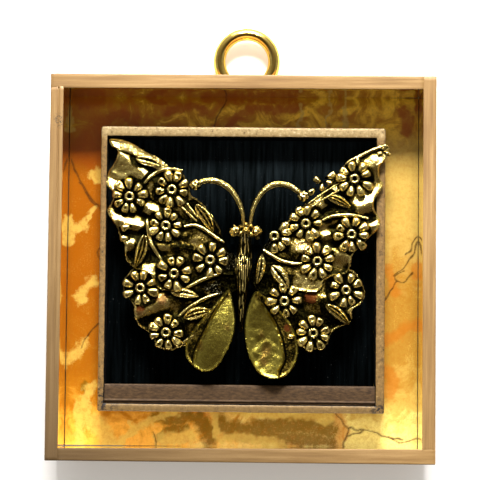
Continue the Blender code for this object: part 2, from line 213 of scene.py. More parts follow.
# %% Antique finish, as a node group
RUSTY = [((-21.6, -16.8, -72.4), 2.4), ((-27.4, -16.8, -75.4), 2.0), ((17.9, -16.8, -71.2), 2.6),
         ((11.8, -16.8, -79.5), 1.7)]
BARE = [((-3.4, -17.2, -61.7), 2.6), ((5.1, -17.2, -56.3), 2.6), ((0.4, -20.0, -55.6), 1.5),
        ((-8.0, -17.0, -69.8), 2.8)]
HEAD = (0.45, -18.7, -53.2)
STAIN, AMBER, AGED = (0.36, 0.13, 0.04), (0.72, 0.46, 0.09), (0.26, 0.172, 0.027)
PIT, PIT_SPECKS = (0.0006, 0.0005, 0.0002), (0.052, 0.042, 0.008)
RUST, BARE_METAL = (0.12, 0.032, 0.008), (0.74, 0.66, 0.40)


def new_group(name, kind, inputs, outputs):
    """A node group; a socket is its name, its kind and for some inputs a value."""
    group = bpy.data.node_groups.new(name, kind)
    for socket, sort, *value in inputs:
        made = group.interface.new_socket(socket, in_out="INPUT", socket_type="NodeSocket" + sort)
        if value:
            made.default_value = value[0]
    for socket, sort in outputs:
        group.interface.new_socket(socket, in_out="OUTPUT", socket_type="NodeSocket" + sort)
    return group, group.nodes.new("NodeGroupInput").outputs, group.nodes.new("NodeGroupOutput").inputs


def near_place(tree, where, place, inner, outer):
    """1 within inner millimetres of a place, falling to 0 at outer."""
    gap = node(tree, "ShaderNodeVectorMath", {0: where}, operation="DISTANCE")
    gap.inputs[1].default_value = place
    fall = outer - inner
    return maths(tree, "MULTIPLY_ADD", gap.outputs["Value"], -1 / fall, outer / fall, clamp=True)


def near_any(tree, where, places, inner):
    found = 0.0
    for place, reach in places:
        found = maths(tree, "MAXIMUM", found, near_place(tree, where, place, inner, reach))
    return found


def shifted(tree, pattern, strength, base):
    """Pushes a value up and down by a noise pattern."""
    return maths(tree, "MULTIPLY_ADD", maths(tree, "SUBTRACT", pattern, 0.5), strength, base)


def make_antique_group():
    group, start, end = new_group("antique finish", "ShaderNodeTree",
                                  [("Polished", "Color"), ("Grain", "Float"), ("Satin", "Float")],
                                  [("Color", "Color"), ("Roughness", "Float"), ("Normal", "Vector")])
    where = coords(group)
    dark = node(group, "ShaderNodeAttribute", attribute_name="dark").outputs["Fac"]
    specks = noise_of(group, where, 2.4, 4.0, 0.7)
    wear = noise_of(group, where, 0.45, 3.0, 0.6)
    broken = shifted(group, wear, 0.75, shifted(group, specks, 1.1, dark))
    mask = curve_of(group, broken, (0.24, 0.0), (0.52, 1.0))
    stain = curve_of(group, noise_of(group, where, 0.16, 2.0), (0.60, 0.0), (0.70, 1.0))
    tint = mix(group, maths(group, "MULTIPLY", stain, 0.45), start["Polished"], STAIN)
    amber = near_place(group, where, HEAD, 2.8, 5.6)
    tint = mix(group, maths(group, "MULTIPLY", amber, 0.65), tint, AMBER)
    tint = mix(group, curve_of(group, mask, (0.0, 0.0), (0.5, 1.0)), tint, AGED)
    black = mix(group, curve_of(group, specks, (0.52, 0.0), (0.76, 1.0)), PIT, PIT_SPECKS)
    metal = mix(group, curve_of(group, mask, (0.4, 0.0), (1.0, 1.0)), tint, black)
    rust = shifted(group, specks, 1.6, near_any(group, where, RUSTY, 0.4))
    rust = curve_of(group, rust, (0.40, 0.0), (0.60, 0.85))
    metal = mix(group, rust, metal, RUST)
    bare = curve_of(group, near_any(group, where, BARE, 0.6), (0.0, 0.0), (0.45, 0.75))
    bare = maths(group, "MULTIPLY", bare, curve_of(group, specks, (0.59, 0.0), (0.64, 1.0)))
    group.links.new(mix(group, bare, metal, BARE_METAL), end["Color"])
    grain = noise_of(group, where, 7.0, 3.0)
    polish = maths(group, "MULTIPLY_ADD", grain, 0.22, start["Satin"])
    polish = maths(group, "MULTIPLY_ADD", rust, 0.3, polish)
    group.links.new(maths(group, "MULTIPLY_ADD", mask, 0.22, polish), end["Roughness"])
    dents = maths(group, "MULTIPLY_ADD", noise_of(group, where, 1.1, 2.0), 2.2, grain)
    pits = node(group, "ShaderNodeBump", {"Height": dents, "Strength": start["Grain"]}, Distance=0.13 * MM)
    group.links.new(pits.outputs[0], end["Normal"])
    return group


ANTIQUE = make_antique_group()
print("antique finish:", len(ANTIQUE.nodes), "nodes")

# %% [markdown]
# Two golds use the group: the bright one of the wings, body and feelers, and a greener satin one on the
# two smooth lobes. Each could be a finish of its own, but as one group with other values they age alike.

# %% Two golds
def antique_metal(name, polished, grain, satin):
    material, tree, shader = new_material(name)
    finish = tree.nodes.new("ShaderNodeGroup")
    finish.node_tree = ANTIQUE
    for socket, value in (("Polished", polished), ("Grain", grain), ("Satin", satin)):
        put(tree, finish.inputs[socket], value)
    colour, gloss, relief = finish.outputs
    fit(tree, shader, Base_Color=colour, Roughness=gloss, Normal=relief, Metallic=1.0,
        Specular_Tint=(0.78, 0.62, 0.26))
    return material


GOLD = antique_metal("antique_gold", (0.90, 0.71, 0.23), 0.5, 0.12)
SATIN = antique_metal("satin_gold", (0.43, 0.35, 0.058), 0.45, 0.17)
print("golds:", GOLD.name, SATIN.name)

# %% [markdown]
# Each wing has a forewing sheet that lies over a hindwing sheet, and a smooth lobe by the body. The two
# sides of the cast piece differ, so one side can't be mirrored: each outline follows its own scalloped
# edge by a few points, and the left tip has a small notch where the sheet was rolled over.

# %% Wing outlines
LEFT_FORE = [
    (-36.7, 31.5), (-34.6, 31.6), (-32.5, 31.2), (-30.1, 30.2), (-28.0, 29.0), (-25.9, 27.8), (-23.7, 26.9),
    (-21.6, 25.2), (-20.1, 24.0), (-17.4, 23.2), (-16.6, 21.6), (-15.4, 19.4), (-14.8, 16.9), (-13.2, 15.8),
    (-11.1, 14.0), (-9.0, 11.3), (-7.4, 8.7), (-6.1, 5.5), (-4.5, 2.4), (-2.4, 0.2), (-2.2, -4.0),
    (-7.0, -4.6), (-10.5, -5.6), (-14.0, -7.4), (-18.0, -8.6), (-22.1, -8.5), (-23.6, -7.6), (-24.4, -6.0),
    (-25.2, -4.5), (-27.0, -3.5), (-29.5, -2.7), (-31.6, -0.9), (-32.1, 0.8), (-32.3, 3.7), (-33.5, 5.3),
    (-34.4, 7.9), (-35.6, 10.0), (-36.7, 11.6), (-36.8, 13.2), (-35.9, 14.8), (-35.2, 16.6), (-35.9, 17.9),
    (-37.2, 19.3), (-37.3, 21.1), (-36.8, 23.0), (-35.6, 24.8), (-34.5, 27.2), (-34.6, 28.8), (-36.0, 29.7),
]
RIGHT_FORE = [
    (37.7, 30.2), (36.6, 30.7), (34.4, 29.9), (31.1, 28.4), (29.2, 27.4), (27.0, 26.4), (26.0, 25.6),
    (25.4, 24.2), (24.0, 22.6), (21.9, 20.4), (19.7, 17.9), (17.5, 16.0), (15.9, 15.0), (14.2, 13.6),
    (12.1, 11.1), (10.1, 9.1), (8.5, 7.5), (6.8, 7.0), (5.8, 5.1), (4.1, 2.7), (2.6, 0.4), (2.4, -4.0),
    (6.0, -4.6), (9.0, -6.4), (12.0, -7.9), (15.0, -8.5), (17.5, -8.8), (19.0, -8.6), (20.1, -7.1),
    (20.8, -5.5), (22.6, -4.5), (24.6, -4.2), (26.7, -3.5), (27.7, -1.5), (28.2, 1.4), (30.6, 4.0),
    (32.2, 5.7), (33.6, 7.0), (35.0, 8.4), (35.4, 10.1), (35.0, 11.7), (33.9, 13.3), (33.6, 15.0),
    (34.1, 16.6), (35.5, 18.5), (36.2, 20.4), (35.4, 21.8), (35.1, 23.7), (35.2, 25.0), (36.3, 26.1),
    (37.4, 28.0),
]
LEFT_HIND = [
    (-2.2, -3.0), (-2.4, -8.4), (-5.4, -10.4), (-9.6, -16.6), (-12.6, -21.0), (-14.6, -22.6), (-16.9, -23.4),
    (-19.6, -24.4), (-22.2, -23.9), (-23.8, -22.4), (-24.2, -20.6), (-26.8, -18.9), (-28.6, -17.4),
    (-29.5, -15.2), (-29.6, -12.6), (-31.0, -10.8), (-32.4, -8.6), (-32.6, -6.2), (-31.2, -4.2),
    (-28.6, -2.4), (-16.0, -1.5),
]
RIGHT_HIND = [
    (2.2, -3.0), (2.4, -8.2), (5.2, -10.2), (9.0, -15.2), (12.0, -20.0), (13.6, -22.2), (16.2, -23.5),
    (18.6, -23.8), (21.2, -22.9), (22.2, -21.0), (22.8, -19.2), (24.8, -17.8), (27.2, -16.8), (28.2, -15.2),
    (28.2, -13.2), (30.4, -11.6), (31.6, -8.8), (30.6, -5.8), (29.2, -3.6), (27.0, -2.4), (16.0, -1.5),
]
LEFT_LOBE = [
    (-4.6, -8.2), (-3.4, -11.2), (-2.7, -14.7), (-2.7, -18.2), (-3.5, -21.7), (-5.1, -25.2), (-7.0, -28.1),
    (-9.0, -29.7), (-11.4, -29.8), (-13.7, -28.5), (-15.4, -26.5), (-15.9, -24.2), (-15.3, -21.2),
    (-12.4, -17.1), (-8.3, -12.4),
]
RIGHT_LOBE = [
    (2.5, -8.6), (0.9, -11.7), (0.1, -14.6), (-0.3, -18.2), (0.0, -21.7), (0.8, -25.2), (2.1, -28.1),
    (4.0, -30.4), (7.1, -31.6), (10.3, -31.0), (12.6, -28.8), (13.8, -25.9), (14.0, -22.7), (13.1, -19.2),
    (11.0, -15.7), (8.1, -12.5), (5.1, -9.9),
]

print("points in the outlines:", [len(o) for o in (LEFT_FORE, RIGHT_FORE, LEFT_HIND, RIGHT_HIND, LEFT_LOBE,
                                                   RIGHT_LOBE)])

# %% [markdown]
# Raised daisies, leaves and stems cover the wings. They could be scattered by a rule, but each has its
# own place on the real piece, so the lists say where. One flower by the right wing's root shows half of
# its petals, and single petals stand where a flower is cut by the edge or hidden.

# %% Flowers, leaves and stems
# Flowers: x, z, the first petal's angle, petals, the angle that they fill, reach, and 1 with a centre
LEFT_FLOWERS = [
    (-31.1, 16.2, 10, 9, 360, 4.5, 1), (-19.9, 18.2, 25, 9, 360, 4.5, 1), (-21.4, 8.6, 5, 9, 360, 4.3, 1),
    (-9.5, -0.4, 40, 8, 360, 4.4, 1), (-19.0, -4.1, 15, 8, 360, 4.5, 1), (-28.0, -8.0, 30, 8, 360, 4.5, 1),
    (-21.0, -19.7, 0, 9, 360, 4.5, 1),
]
RIGHT_FLOWERS = [
    (28.5, 21.4, 20, 9, 360, 4.6, 1), (15.7, 9.5, 0, 9, 360, 4.3, 1), (27.8, 6.7, 35, 9, 360, 4.5, 1),
    (18.8, -0.5, 10, 9, 360, 4.5, 1), (26.5, -8.0, 30, 8, 360, 4.5, 1), (10.2, -11.1, 5, 8, 360, 4.4, 1),
    (17.9, -19.5, 20, 9, 360, 4.4, 1), (7.4, 6.1, -88, 5, 170, 4.1, 1),
]
# Single petals: x, z, angle and length
LEFT_LOOSE = [(-31.7, 8.1, 200, 3.2), (-32.2, 5.4, 185, 3.0)]
RIGHT_LOOSE = [
    (18.9, 20.8, 150, 2.7), (22.0, 22.1, 20, 2.9), (21.7, 20.7, -8, 2.4), (20.0, 19.4, 265, 2.4),
    (17.3, 18.0, 225, 2.9), (10.3, 8.9, 60, 2.8), (12.2, -20.4, 175, 2.7), (36.2, 29.6, 35, 2.0),
    (37.0, 28.2, -25, 1.7), (35.4, 28.4, 205, 1.6), (36.2, 26.9, 265, 1.5),
]
# Leaves: x, z at the stalk, x, z at the tip, width, and 1 for a hollow one with a raised rim
LEFT_LEAVES = [
    (-29.4, 26.4, -22.8, 24.6, 2.9, 0), (-13.4, 14.2, -8.8, 7.3, 3.3, 1), (-27.0, 6.0, -29.3, -2.4, 3.2, 1),
    (-19.8, -9.0, -12.6, -10.0, 2.6, 0), (-16.2, -15.7, -9.2, -13.8, 3.4, 1),
]
RIGHT_LEAVES = [
    (21.4, 16.8, 27.5, 13.8, 2.8, 1), (4.2, 1.2, 2.9, -6.6, 2.3, 0), (6.8, -1.8, 11.2, -7.6, 3.5, 0),
    (21.2, -12.0, 27.3, -17.0, 2.9, 1),
]
LEFT_STEMS = [
    [(-27.2, 19.8), (-25.3, 21.9), (-23.0, 23.2), (-20.1, 23.7), (-17.2, 23.4)],
    [(-16.5, 8.4), (-14.0, 8.8), (-11.6, 8.0), (-8.7, 6.1), (-5.8, 4.2)],
    [(-26.4, 10.2), (-26.0, 6.9), (-25.1, 3.7), (-23.7, 1.3), (-22.4, -0.5)],
    [(-15.7, -7.8), (-12.2, -6.0), (-9.9, -5.0), (-7.3, -4.2)],
    [(-17.8, -15.5), (-15.5, -13.4), (-12.9, -11.7), (-10.4, -10.4), (-7.4, -9.3)],
    [(-16.8, -22.5), (-14.2, -20.8), (-12.4, -19.6), (-10.6, -17.3)],
]
LEFT_VEINS = [[(-17.2, 13.6), (-15.2, 11.6), (-13.2, 9.9)], [(-15.8, 14.6), (-14.2, 12.4), (-12.6, 10.6)]]
RIGHT_STEMS = [
    [(20.2, 10.4), (22.4, 11.4), (25.7, 11.8), (28.9, 11.7), (32.4, 11.0)],
    [(4.6, 2.4), (6.6, 1.1), (9.3, -0.4), (12.1, -1.1), (14.8, -1.1)],
    [(26.2, 25.4), (27.3, 26.3), (29.2, 27.2), (31.1, 28.2), (34.4, 29.7), (36.6, 30.4)],
    [(29.4, 27.4), (29.2, 25.0)],
]
RIGHT_VEINS = [
    [(14.6, 12.0), (18.2, 14.6), (21.6, 16.8), (25.4, 19.0)],
    [(10.4, 9.4), (13.6, 12.4), (16.8, 15.2), (20.6, 17.9), (24.6, 20.4)],
]
print(len(LEFT_FLOWERS + RIGHT_FLOWERS), "flowers,", len(LEFT_LEAVES + RIGHT_LEAVES), "leaves and",
      len(LEFT_STEMS + RIGHT_STEMS), "stems")

# %% [markdown]
# Paths and outlines are given by a few points and drawn smooth through them. Blender's own curves could
# do that, but plain arrays of points can also be measured, to see how near a place is to an edge.

# %% Curves, distances and noise
def smooth_path(points, steps=6, closed=False):
    """A Catmull-Rom curve through the points."""
    p = np.asarray(points, float)
    if closed:
        p = np.concatenate([p[-1:], p, p[:2]])
    else:
        p = np.concatenate([2 * p[:1] - p[1:2], p, 2 * p[-1:] - p[-2:-1]])
    a, b, c, d = p[:-3], p[1:-2], p[2:-1], p[3:]
    t = (np.arange(steps) / steps)[None, :, None]
    a, b, c, d = (q[:, None, :] for q in (a, b, c, d))
    out = 0.5 * (2 * b + (c - a) * t + (2 * a - 5 * b + 4 * c - d) * t ** 2
                 + (3 * b - a - 3 * c + d) * t ** 3)
    out = out.reshape(-1, p.shape[1])
    return out if closed else np.concatenate([out, p[-2:-1]])


def even_steps(path, spacing, closed=False):
    """The same line with points an even distance apart."""
    p = np.asarray(path, float)
    if closed:
        p = np.concatenate([p, p[:1]])
    along = np.concatenate([[0], np.cumsum(np.linalg.norm(np.diff(p, axis=0), axis=1))])
    n = max(2, int(round(along[-1] / spacing)))
    at = np.linspace(0, along[-1], n + 1)
    out = np.stack([np.interp(at, along, p[:, i]) for i in range(p.shape[1])], -1)
    return out[:-1] if closed else out


def distance_to(points, path, closed=False):
    """Least distance from each point to a line of points, in the plane."""
    p = np.asarray(path, float)[:, :2]
    ends = np.roll(p, -1, 0) if closed else p[1:]
    starts = p if closed else p[:-1]
    best = np.full(len(points), 1e9)
    for a, b in zip(starts, ends):
        d = b - a
        t = np.clip(((points - a) @ d) / max(d @ d, 1e-12), 0, 1)
        best = np.minimum(best, np.hypot(*(points - a - t[:, None] * d).T))
    return best


def inside(points, outline):
    x, z = points[:, 0], points[:, 1]
    hit = np.zeros(len(points), bool)
    for (x0, z0), (x1, z1) in zip(outline, np.roll(outline, -1, 0)):
        crosses = (z0 > z) != (z1 > z)
        with np.errstate(divide="ignore", invalid="ignore"):
            hit ^= crosses & (x < (x1 - x0) * (z - z0) / (z1 - z0) + x0)
    return hit


def ramp(value, low, high):
    t = np.clip((np.asarray(value, float) - low) / (high - low), 0, 1)
    return t * t * (3 - 2 * t)


def rough(x, z, size, seed=0.0):
    """Smooth noise between about -1 and 1, with patches of the given size in mm."""
    return np.array([noise.noise(Vector((a / size, b / size, seed))) for a, b in zip(x, z)])


print("a smooth path through 3 points has", len(smooth_path([(0, 0), (1, 1), (2, 0)])), "points")

# %% [markdown]
# The sheets are folded like cloth: ridges and valleys run out from the wing's root to its scalloped
# edge and get higher on the way. They could be sculpted, but the height is found from the angle at the
# root, so that a fold stays straight and can be moved by one number.

# %% Folds of the wing sheets
def folded(stops, angle):
    """Between -1 in a valley and 1 on a ridge, for stops of (angle, value)."""
    places = np.array([s[0] for s in stops], float)
    values = np.array([s[1] for s in stops], float)
    k = np.clip(np.searchsorted(places, angle) - 1, 0, len(stops) - 2)
    t = np.clip((angle - places[k]) / (places[k + 1] - places[k]), 0, 1)
    return values[k] + (values[k + 1] - values[k]) * (1 - np.cos(np.pi * t)) / 2


FORE_FOLDS = {
    -1: [(-60, 0), (-14, 0.6), (-5, -1), (2.5, 1), (8, -1), (13, 1), (18.5, -1), (24.8, 0.9), (29.8, -0.9),
         (31.3, 0.25), (39.2, 0.95), (43.5, -0.7), (50, -0.6), (70, 0.5), (90, 0)],
    1: [(-60, 0), (-22, 0.6), (-12, -1), (-3, 1), (6, -1), (12, 0.8), (16.5, -1), (22.5, 1), (29.5, -0.9),
        (36, 0.7), (45, -0.6), (60, 0.3), (90, 0)],
}
HIND_FOLDS = {
    -1: [(-100, 0), (-74, -1), (-62, 1), (-50, -1), (-38, 0.8), (-28, -1), (-16, 0.8), (-6, -0.6), (20, 0)],
    1: [(-100, 0), (-76, -1), (-64, 0.8), (-54, -1), (-40, 1), (-30, -1), (-18, 0.8), (-6, -0.6), (20, 0)],
}


# The right wing's roots; the left wing's are mirrored
FORE_ROOT, HIND_ROOT = (3.0, 2.5), (3.0, -6.0)


def fold_value(side, x, z, folds, root):
    """The fold's height between -1 and 1, and the distance from the root."""
    out = x - side * root[0]
    angle = np.degrees(np.arctan2(z - root[1], np.maximum(out * side, 0.01)))
    return folded(folds[side], angle), np.hypot(out, z - root[1])


print("folds in the left forewing:", len(FORE_FOLDS[-1]) - 2)

# %% [markdown]
# The depth of a sheet is a level, less its folds and a soft waviness of the cast metal. The left forewing
# has a rolled band along its top, which is a quarter circle laid over the folds, and the right one swells
# near its root, where the photo shows a bright place. A function gives the depth anywhere, so the flowers
# can be set down on it too.

# %% Depth of the wing sheets
FORE_LEVEL, HIND_LEVEL = 6.35, 6.95
TOP_BAND = [(-38.5, 31.6), (-34.6, 31.8), (-30.1, 30.3), (-25.9, 27.9), (-22.6, 26.0)]
BAND_WIDTH = 2.7
SWELLING = (15.0, 2.4)


def band_share(side, x, z):
    """The rolled band along the left wing's top edge: 0 at the edge, 1 at the roll's inner line."""
    if side > 0:
        return np.full(np.shape(x), 9.0)
    line = smooth_path(TOP_BAND, 4)
    return distance_to(np.stack([np.ravel(x), np.ravel(z)], -1), line) / BAND_WIDTH


def fore_depth(side, x, z):
    value, reach = fold_value(side, x, z, FORE_FOLDS, FORE_ROOT)
    wave = rough(x, z, 4.5, 3.0 + side) + 0.35 * rough(x, z, 1.5, 5.0 + side)
    plain = FORE_LEVEL - 0.019 * np.minimum(reach, 40) * ramp(reach, 6, 24) * value - 0.24 * wave
    share = band_share(side, x, z)
    if side > 0:
        plain = plain - 0.55 * np.exp(-((x - SWELLING[0]) ** 2 + (z - SWELLING[1]) ** 2) / 2.2 ** 2)
    roll = 6.4 - 0.62 * np.sqrt(np.clip(1 - (1 - share) ** 2, 0, 1)) - 0.05 * wave
    blend = ramp(share, 1.0, 1.22)
    return roll * (1 - blend) + plain * blend


def hind_depth(side, x, z):
    value, reach = fold_value(side, x, z, HIND_FOLDS, HIND_ROOT)
    wave = rough(x, z, 4.0, 8.0 + side) + 0.35 * rough(x, z, 1.4, 9.0 + side)
    return HIND_LEVEL - 0.022 * reach * ramp(reach, 4, 18) * value - 0.20 * wave


print("depth of the right forewing at its middle:", round(float(fore_depth(1, np.array([18.0]),
                                                                           np.array([8.0]))[0]), 2), "mm")

# %% [markdown]
# A sheet is cut to its outline, filled with small triangles, pushed to its depth and given a thin back.
# A narrow rim stands up along the edge, as it does on pressed metal. A subdivided plane with a boolean
# cut could make it too, but its edge would be jagged; here the outline's own points are in the mesh.

# %% Cutting a sheet
SHEET_THICK = 0.7


def open_edges(faces):
    """Edges that only one face uses, each in its face's direction."""
    used = dict.fromkeys((a, b) for f in faces for a, b in zip(f, f[1:] + f[:1]))
    return [(a, b) for a, b in used if (b, a) not in used]


def sheet(outline, depth, dark, spacing=0.4, rim=0.22, rim_width=0.28):
    """Returns the vertices (x, z, depth), the faces and the dark value of one closed sheet."""
    edge = even_steps(smooth_path(outline, 6, closed=True), spacing, closed=True)
    lo, hi = edge.min(0), edge.max(0)
    gx, gz = np.meshgrid(np.arange(lo[0], hi[0], spacing), np.arange(lo[1], hi[1], spacing * 0.87))
    gx = gx + (np.arange(gx.shape[0])[:, None] % 2) * spacing / 2
    grid = np.stack([gx.ravel(), gz.ravel()], -1)
    grid = grid[inside(grid, edge)]
    grid = grid[distance_to(grid, edge, closed=True) > spacing * 0.55]
    points = np.concatenate([edge, grid])
    n = len(edge)
    made = delaunay_2d_cdt([Vector(p) for p in points], [(i, (i + 1) % n) for i in range(n)], [], 1, 1e-6)
    flat = np.array([tuple(v) for v in made[0]])
    tris = [list(f) for f in made[2]]
    near = distance_to(flat, edge, closed=True)
    level = depth(flat[:, 0], flat[:, 1])
    front = level - rim * np.exp(-((near - 0.25) / rim_width) ** 2) + 0.35 * np.exp(-(near / 0.12) ** 2)
    m = len(flat)
    verts = np.concatenate([np.column_stack([flat, front]), np.column_stack([flat, level + SHEET_THICK])])
    faces = tris + [[i + m for i in reversed(f)] for f in tris]
    faces += [[b, a, a + m, b + m] for a, b in open_edges(tris)]
    return verts, faces, np.concatenate([dark(flat, near), np.full(m, 0.6)])


def in_place(verts):
    return fly_at(verts[:, 0], verts[:, 1], verts[:, 2])


print("a sheet is", SHEET_THICK, "mm thick")

# %% [markdown]
# The finish stays dark round the relief, in the folds' valleys and at the wing's root, and it is rubbed off
# on the ridges and on the rim. In a few places it is cleared as painted highlights, and a painted shade lies
# along the step under the left wing's rolled band. It could be painted by hand on the mesh, but a rule of
# distances makes it fit the flowers wherever they are moved.

# %% Where the wings are dark
# Painted highlights, where the dark finish is cleared: side, x, z, reach and how far they are cleared
PAINTED_HIGHLIGHT_SPOTS = [
    (1, 15.0, 3.6, 2.4, 1), (1, 31.0, 16.2, 3.2, 1), (1, 33.4, 25.8, 2.2, 0.45), (1, 20.0, 8.0, 1.6, 0.9),
    (1, 15.5, -6.0, 3.4, 0.6), (1, 24.5, -0.8, 2.4, 0.7), (-1, -36.0, 19.2, 2.6, 1),
    (-1, -33.6, 26.8, 1.6, 0.9), (-1, -29.4, 9.4, 2.2, 0.8), (-1, -24.4, 13.4, 1.6, 0.8),
    (-1, -12.8, 4.8, 3.0, 0.55),
]


def relief_distance(side, points):
    """How far each point is from the nearest flower, leaf or stem."""
    flowers, leaves, stems = ((LEFT_FLOWERS, LEFT_LEAVES, LEFT_STEMS) if side < 0
                              else (RIGHT_FLOWERS, RIGHT_LEAVES, RIGHT_STEMS))
    best = np.full(len(points), 1e9)
    for x, z, _, _, _, reach, _ in flowers:
        best = np.minimum(best, np.hypot(points[:, 0] - x, points[:, 1] - z) - reach)
    for x0, z0, x1, z1, width, _ in leaves:
        best = np.minimum(best, distance_to(points, [(x0, z0), (x1, z1)]) - width * 0.4)
    for path in stems:
        best = np.minimum(best, distance_to(points, path) - 0.4)
    return best


def wing_dark(side, folds, root):
    def shade(points, near):
        x, z = points.T
        value, reach = fold_value(side, x, z, folds, root)
        gap = relief_distance(side, points) + 0.9 * rough(x, z, 2.6, 12.0)
        by_relief = 0.74 * (1 - ramp(gap, 0.1, 1.9)) + 0.26 * (1 - ramp(gap, 0.0, 0.7))
        far = ramp(reach, 31.5, 35.5)
        valley = ramp(-value, -0.45 + 0.5 * far, 0.45 + 0.5 * far) * (0.82 - 0.42 * far) * ramp(reach, 12, 22)
        at_root = (1 - ramp(reach, 13.0, 25.0)) * (0.62 + 0.25 * rough(x, z, 2.2, 15.0))
        dark = np.maximum(np.maximum(by_relief, valley), at_root)
        if folds is FORE_FOLDS:
            # Painted highlights: the dark finish is cleared at these spots so the metal shines there.
            for on, spot_x, spot_z, size, polish in PAINTED_HIGHLIGHT_SPOTS:
                if on == side:
                    away = ((x - spot_x) ** 2 + (z - spot_z) ** 2) / size ** 2
                    dark = dark * (1 - polish * np.exp(-away))
            share = band_share(side, x, z)
            # Painted shade in the step just inside the rolled band.
            painted_shade_under_band = 0.9 * np.exp(-((share - 1.15) / 0.12) ** 2)
            dark = np.where(share < 1.0, 0.12, np.maximum(dark, painted_shade_under_band))
        dark = dark * (0.25 + 0.75 * ramp(near, 0.15, 0.7))
        return np.maximum(dark, 1 - ramp(np.abs(x), 4.5, 9.0))
    return shade


def make_wing_sheets():
    for side, name, fore, hind in ((-1, "left", LEFT_FORE, LEFT_HIND), (1, "right", RIGHT_FORE, RIGHT_HIND)):
        for kind, outline, depth, folds, root in (("forewing", fore, fore_depth, FORE_FOLDS, FORE_ROOT),
                                                  ("hindwing", hind, hind_depth, HIND_FOLDS, HIND_ROOT)):
            verts, faces, dark = sheet(outline, lambda x, z: depth(side, x, z), wing_dark(side, folds, root))
            add_piece(f"{kind}_{name}", in_place(verts), faces, GOLD, dark, stands_for=[f"wing_{name}"])


make_wing_sheets()

# %% [markdown]
# Each lobe below the body is one smooth leaf with a folded side: a thin ridge runs down from its root,
# and outside the ridge the metal is dark and rough. The left one bulges and the right one is a dented
# dish, so both are cut as sheets like the wings', each with its own depth.

# %% Lobes
LOBE_FOLDS = {
    -1: [(-5.2, -9.6), (-8.3, -14.7), (-10.6, -19.4), (-12.6, -23.5), (-13.3, -25.4)],
    1: [(3.7, -11.0), (6.3, -14.6), (8.4, -18.6), (9.8, -23.3), (10.0, -26.8), (8.8, -29.6)],
}


def make_lobes():
    for side, name, outline in ((-1, "left", LEFT_LOBE), (1, "right", RIGHT_LOBE)):
        fold = smooth_path(LOBE_FOLDS[side], 8)
        middle = np.array([-7.6, -19.5]) if side < 0 else np.array([4.8, -22.0])

        def outer_side(points):
            """Positive outside the fold line, by x at the same height."""
            order = np.argsort(fold[:, 1])
            line_x = np.interp(points[:, 1], fold[order, 1], fold[order, 0])
            return (points[:, 0] - line_x) * side

        def depth(x, z):
            p = np.stack([x, z], -1)
            out = outer_side(p)
            near = distance_to(p, fold)
            if side < 0:
                bowl = np.hypot((p[:, 0] - middle[0]) / 6.5, (p[:, 1] - middle[1]) / 12.5)
                dish = -1.5 * np.clip(1 - bowl ** 2, 0, 1)
            else:
                bowl = np.hypot((p[:, 0] - middle[0]) / 5.0, (p[:, 1] - middle[1]) / 10.0)
                dish = 0.8 * np.clip(1 - bowl ** 2, 0, 1) - 0.22 * rough(x, z, 1.9, 31.0) * ramp(-z, 14, 23)
            step = 0.5 * ramp(out, -0.2, 0.8)
            ridge = 0.6 * np.exp(-((out + 0.05) / 0.22) ** 2) * (near < 1.2)
            return 6.1 + dish + step - ridge - 0.06 * rough(x, z, 2.2, 5.0)

        def dark(points, near):
            out = outer_side(points)
            groove = np.exp(-((out - 0.62) / 0.34) ** 2) * 1.1
            outer = ramp(out, 0.2, 1.2) * 0.52
            root = 1 - ramp(-points[:, 1], 9.5, 13.0)
            dirt = np.maximum(np.maximum(groove * 0.9, outer), root * 0.5)
            return dirt * (0.25 + 0.75 * ramp(near, 0.3, 0.9))

        verts, faces, shade = sheet(outline, depth, dark, spacing=0.34, rim=0.16 if side < 0 else 0.34,
                                   rim_width=0.28 if side < 0 else 0.42)
        add_piece(f"lobe_{name}", in_place(verts), faces, SATIN, shade, stands_for=[f"wing_{name}"])


make_lobes()

# %% [markdown]
# A leaf is a pointed oval. Some have a groove down the middle, where the finish stays black, and two
# rounded halves; the hollow ones have a raised rim and rib. A leaf could be one mesh that is copied, but
# each has its own length, width and direction, so it is worked out from its own two ends.

# %% Leaves
class Solids:
    """Gathers several closed shapes into one mesh."""

    def __init__(self):
        self.verts, self.faces, self.dark, self.count = [], [], [], 0

    def add(self, verts, faces, dark=None):
        verts = np.asarray(verts, float)
        self.verts.append(verts)
        self.faces += [[i + self.count for i in f] for f in faces]
        self.dark.append(np.zeros(len(verts)) if dark is None else np.asarray(dark, float))
        self.count += len(verts)

    def piece(self, name, material, **more):
        return add_piece(name, np.concatenate(self.verts), self.faces, material,
                         dark=np.concatenate(self.dark), **more)


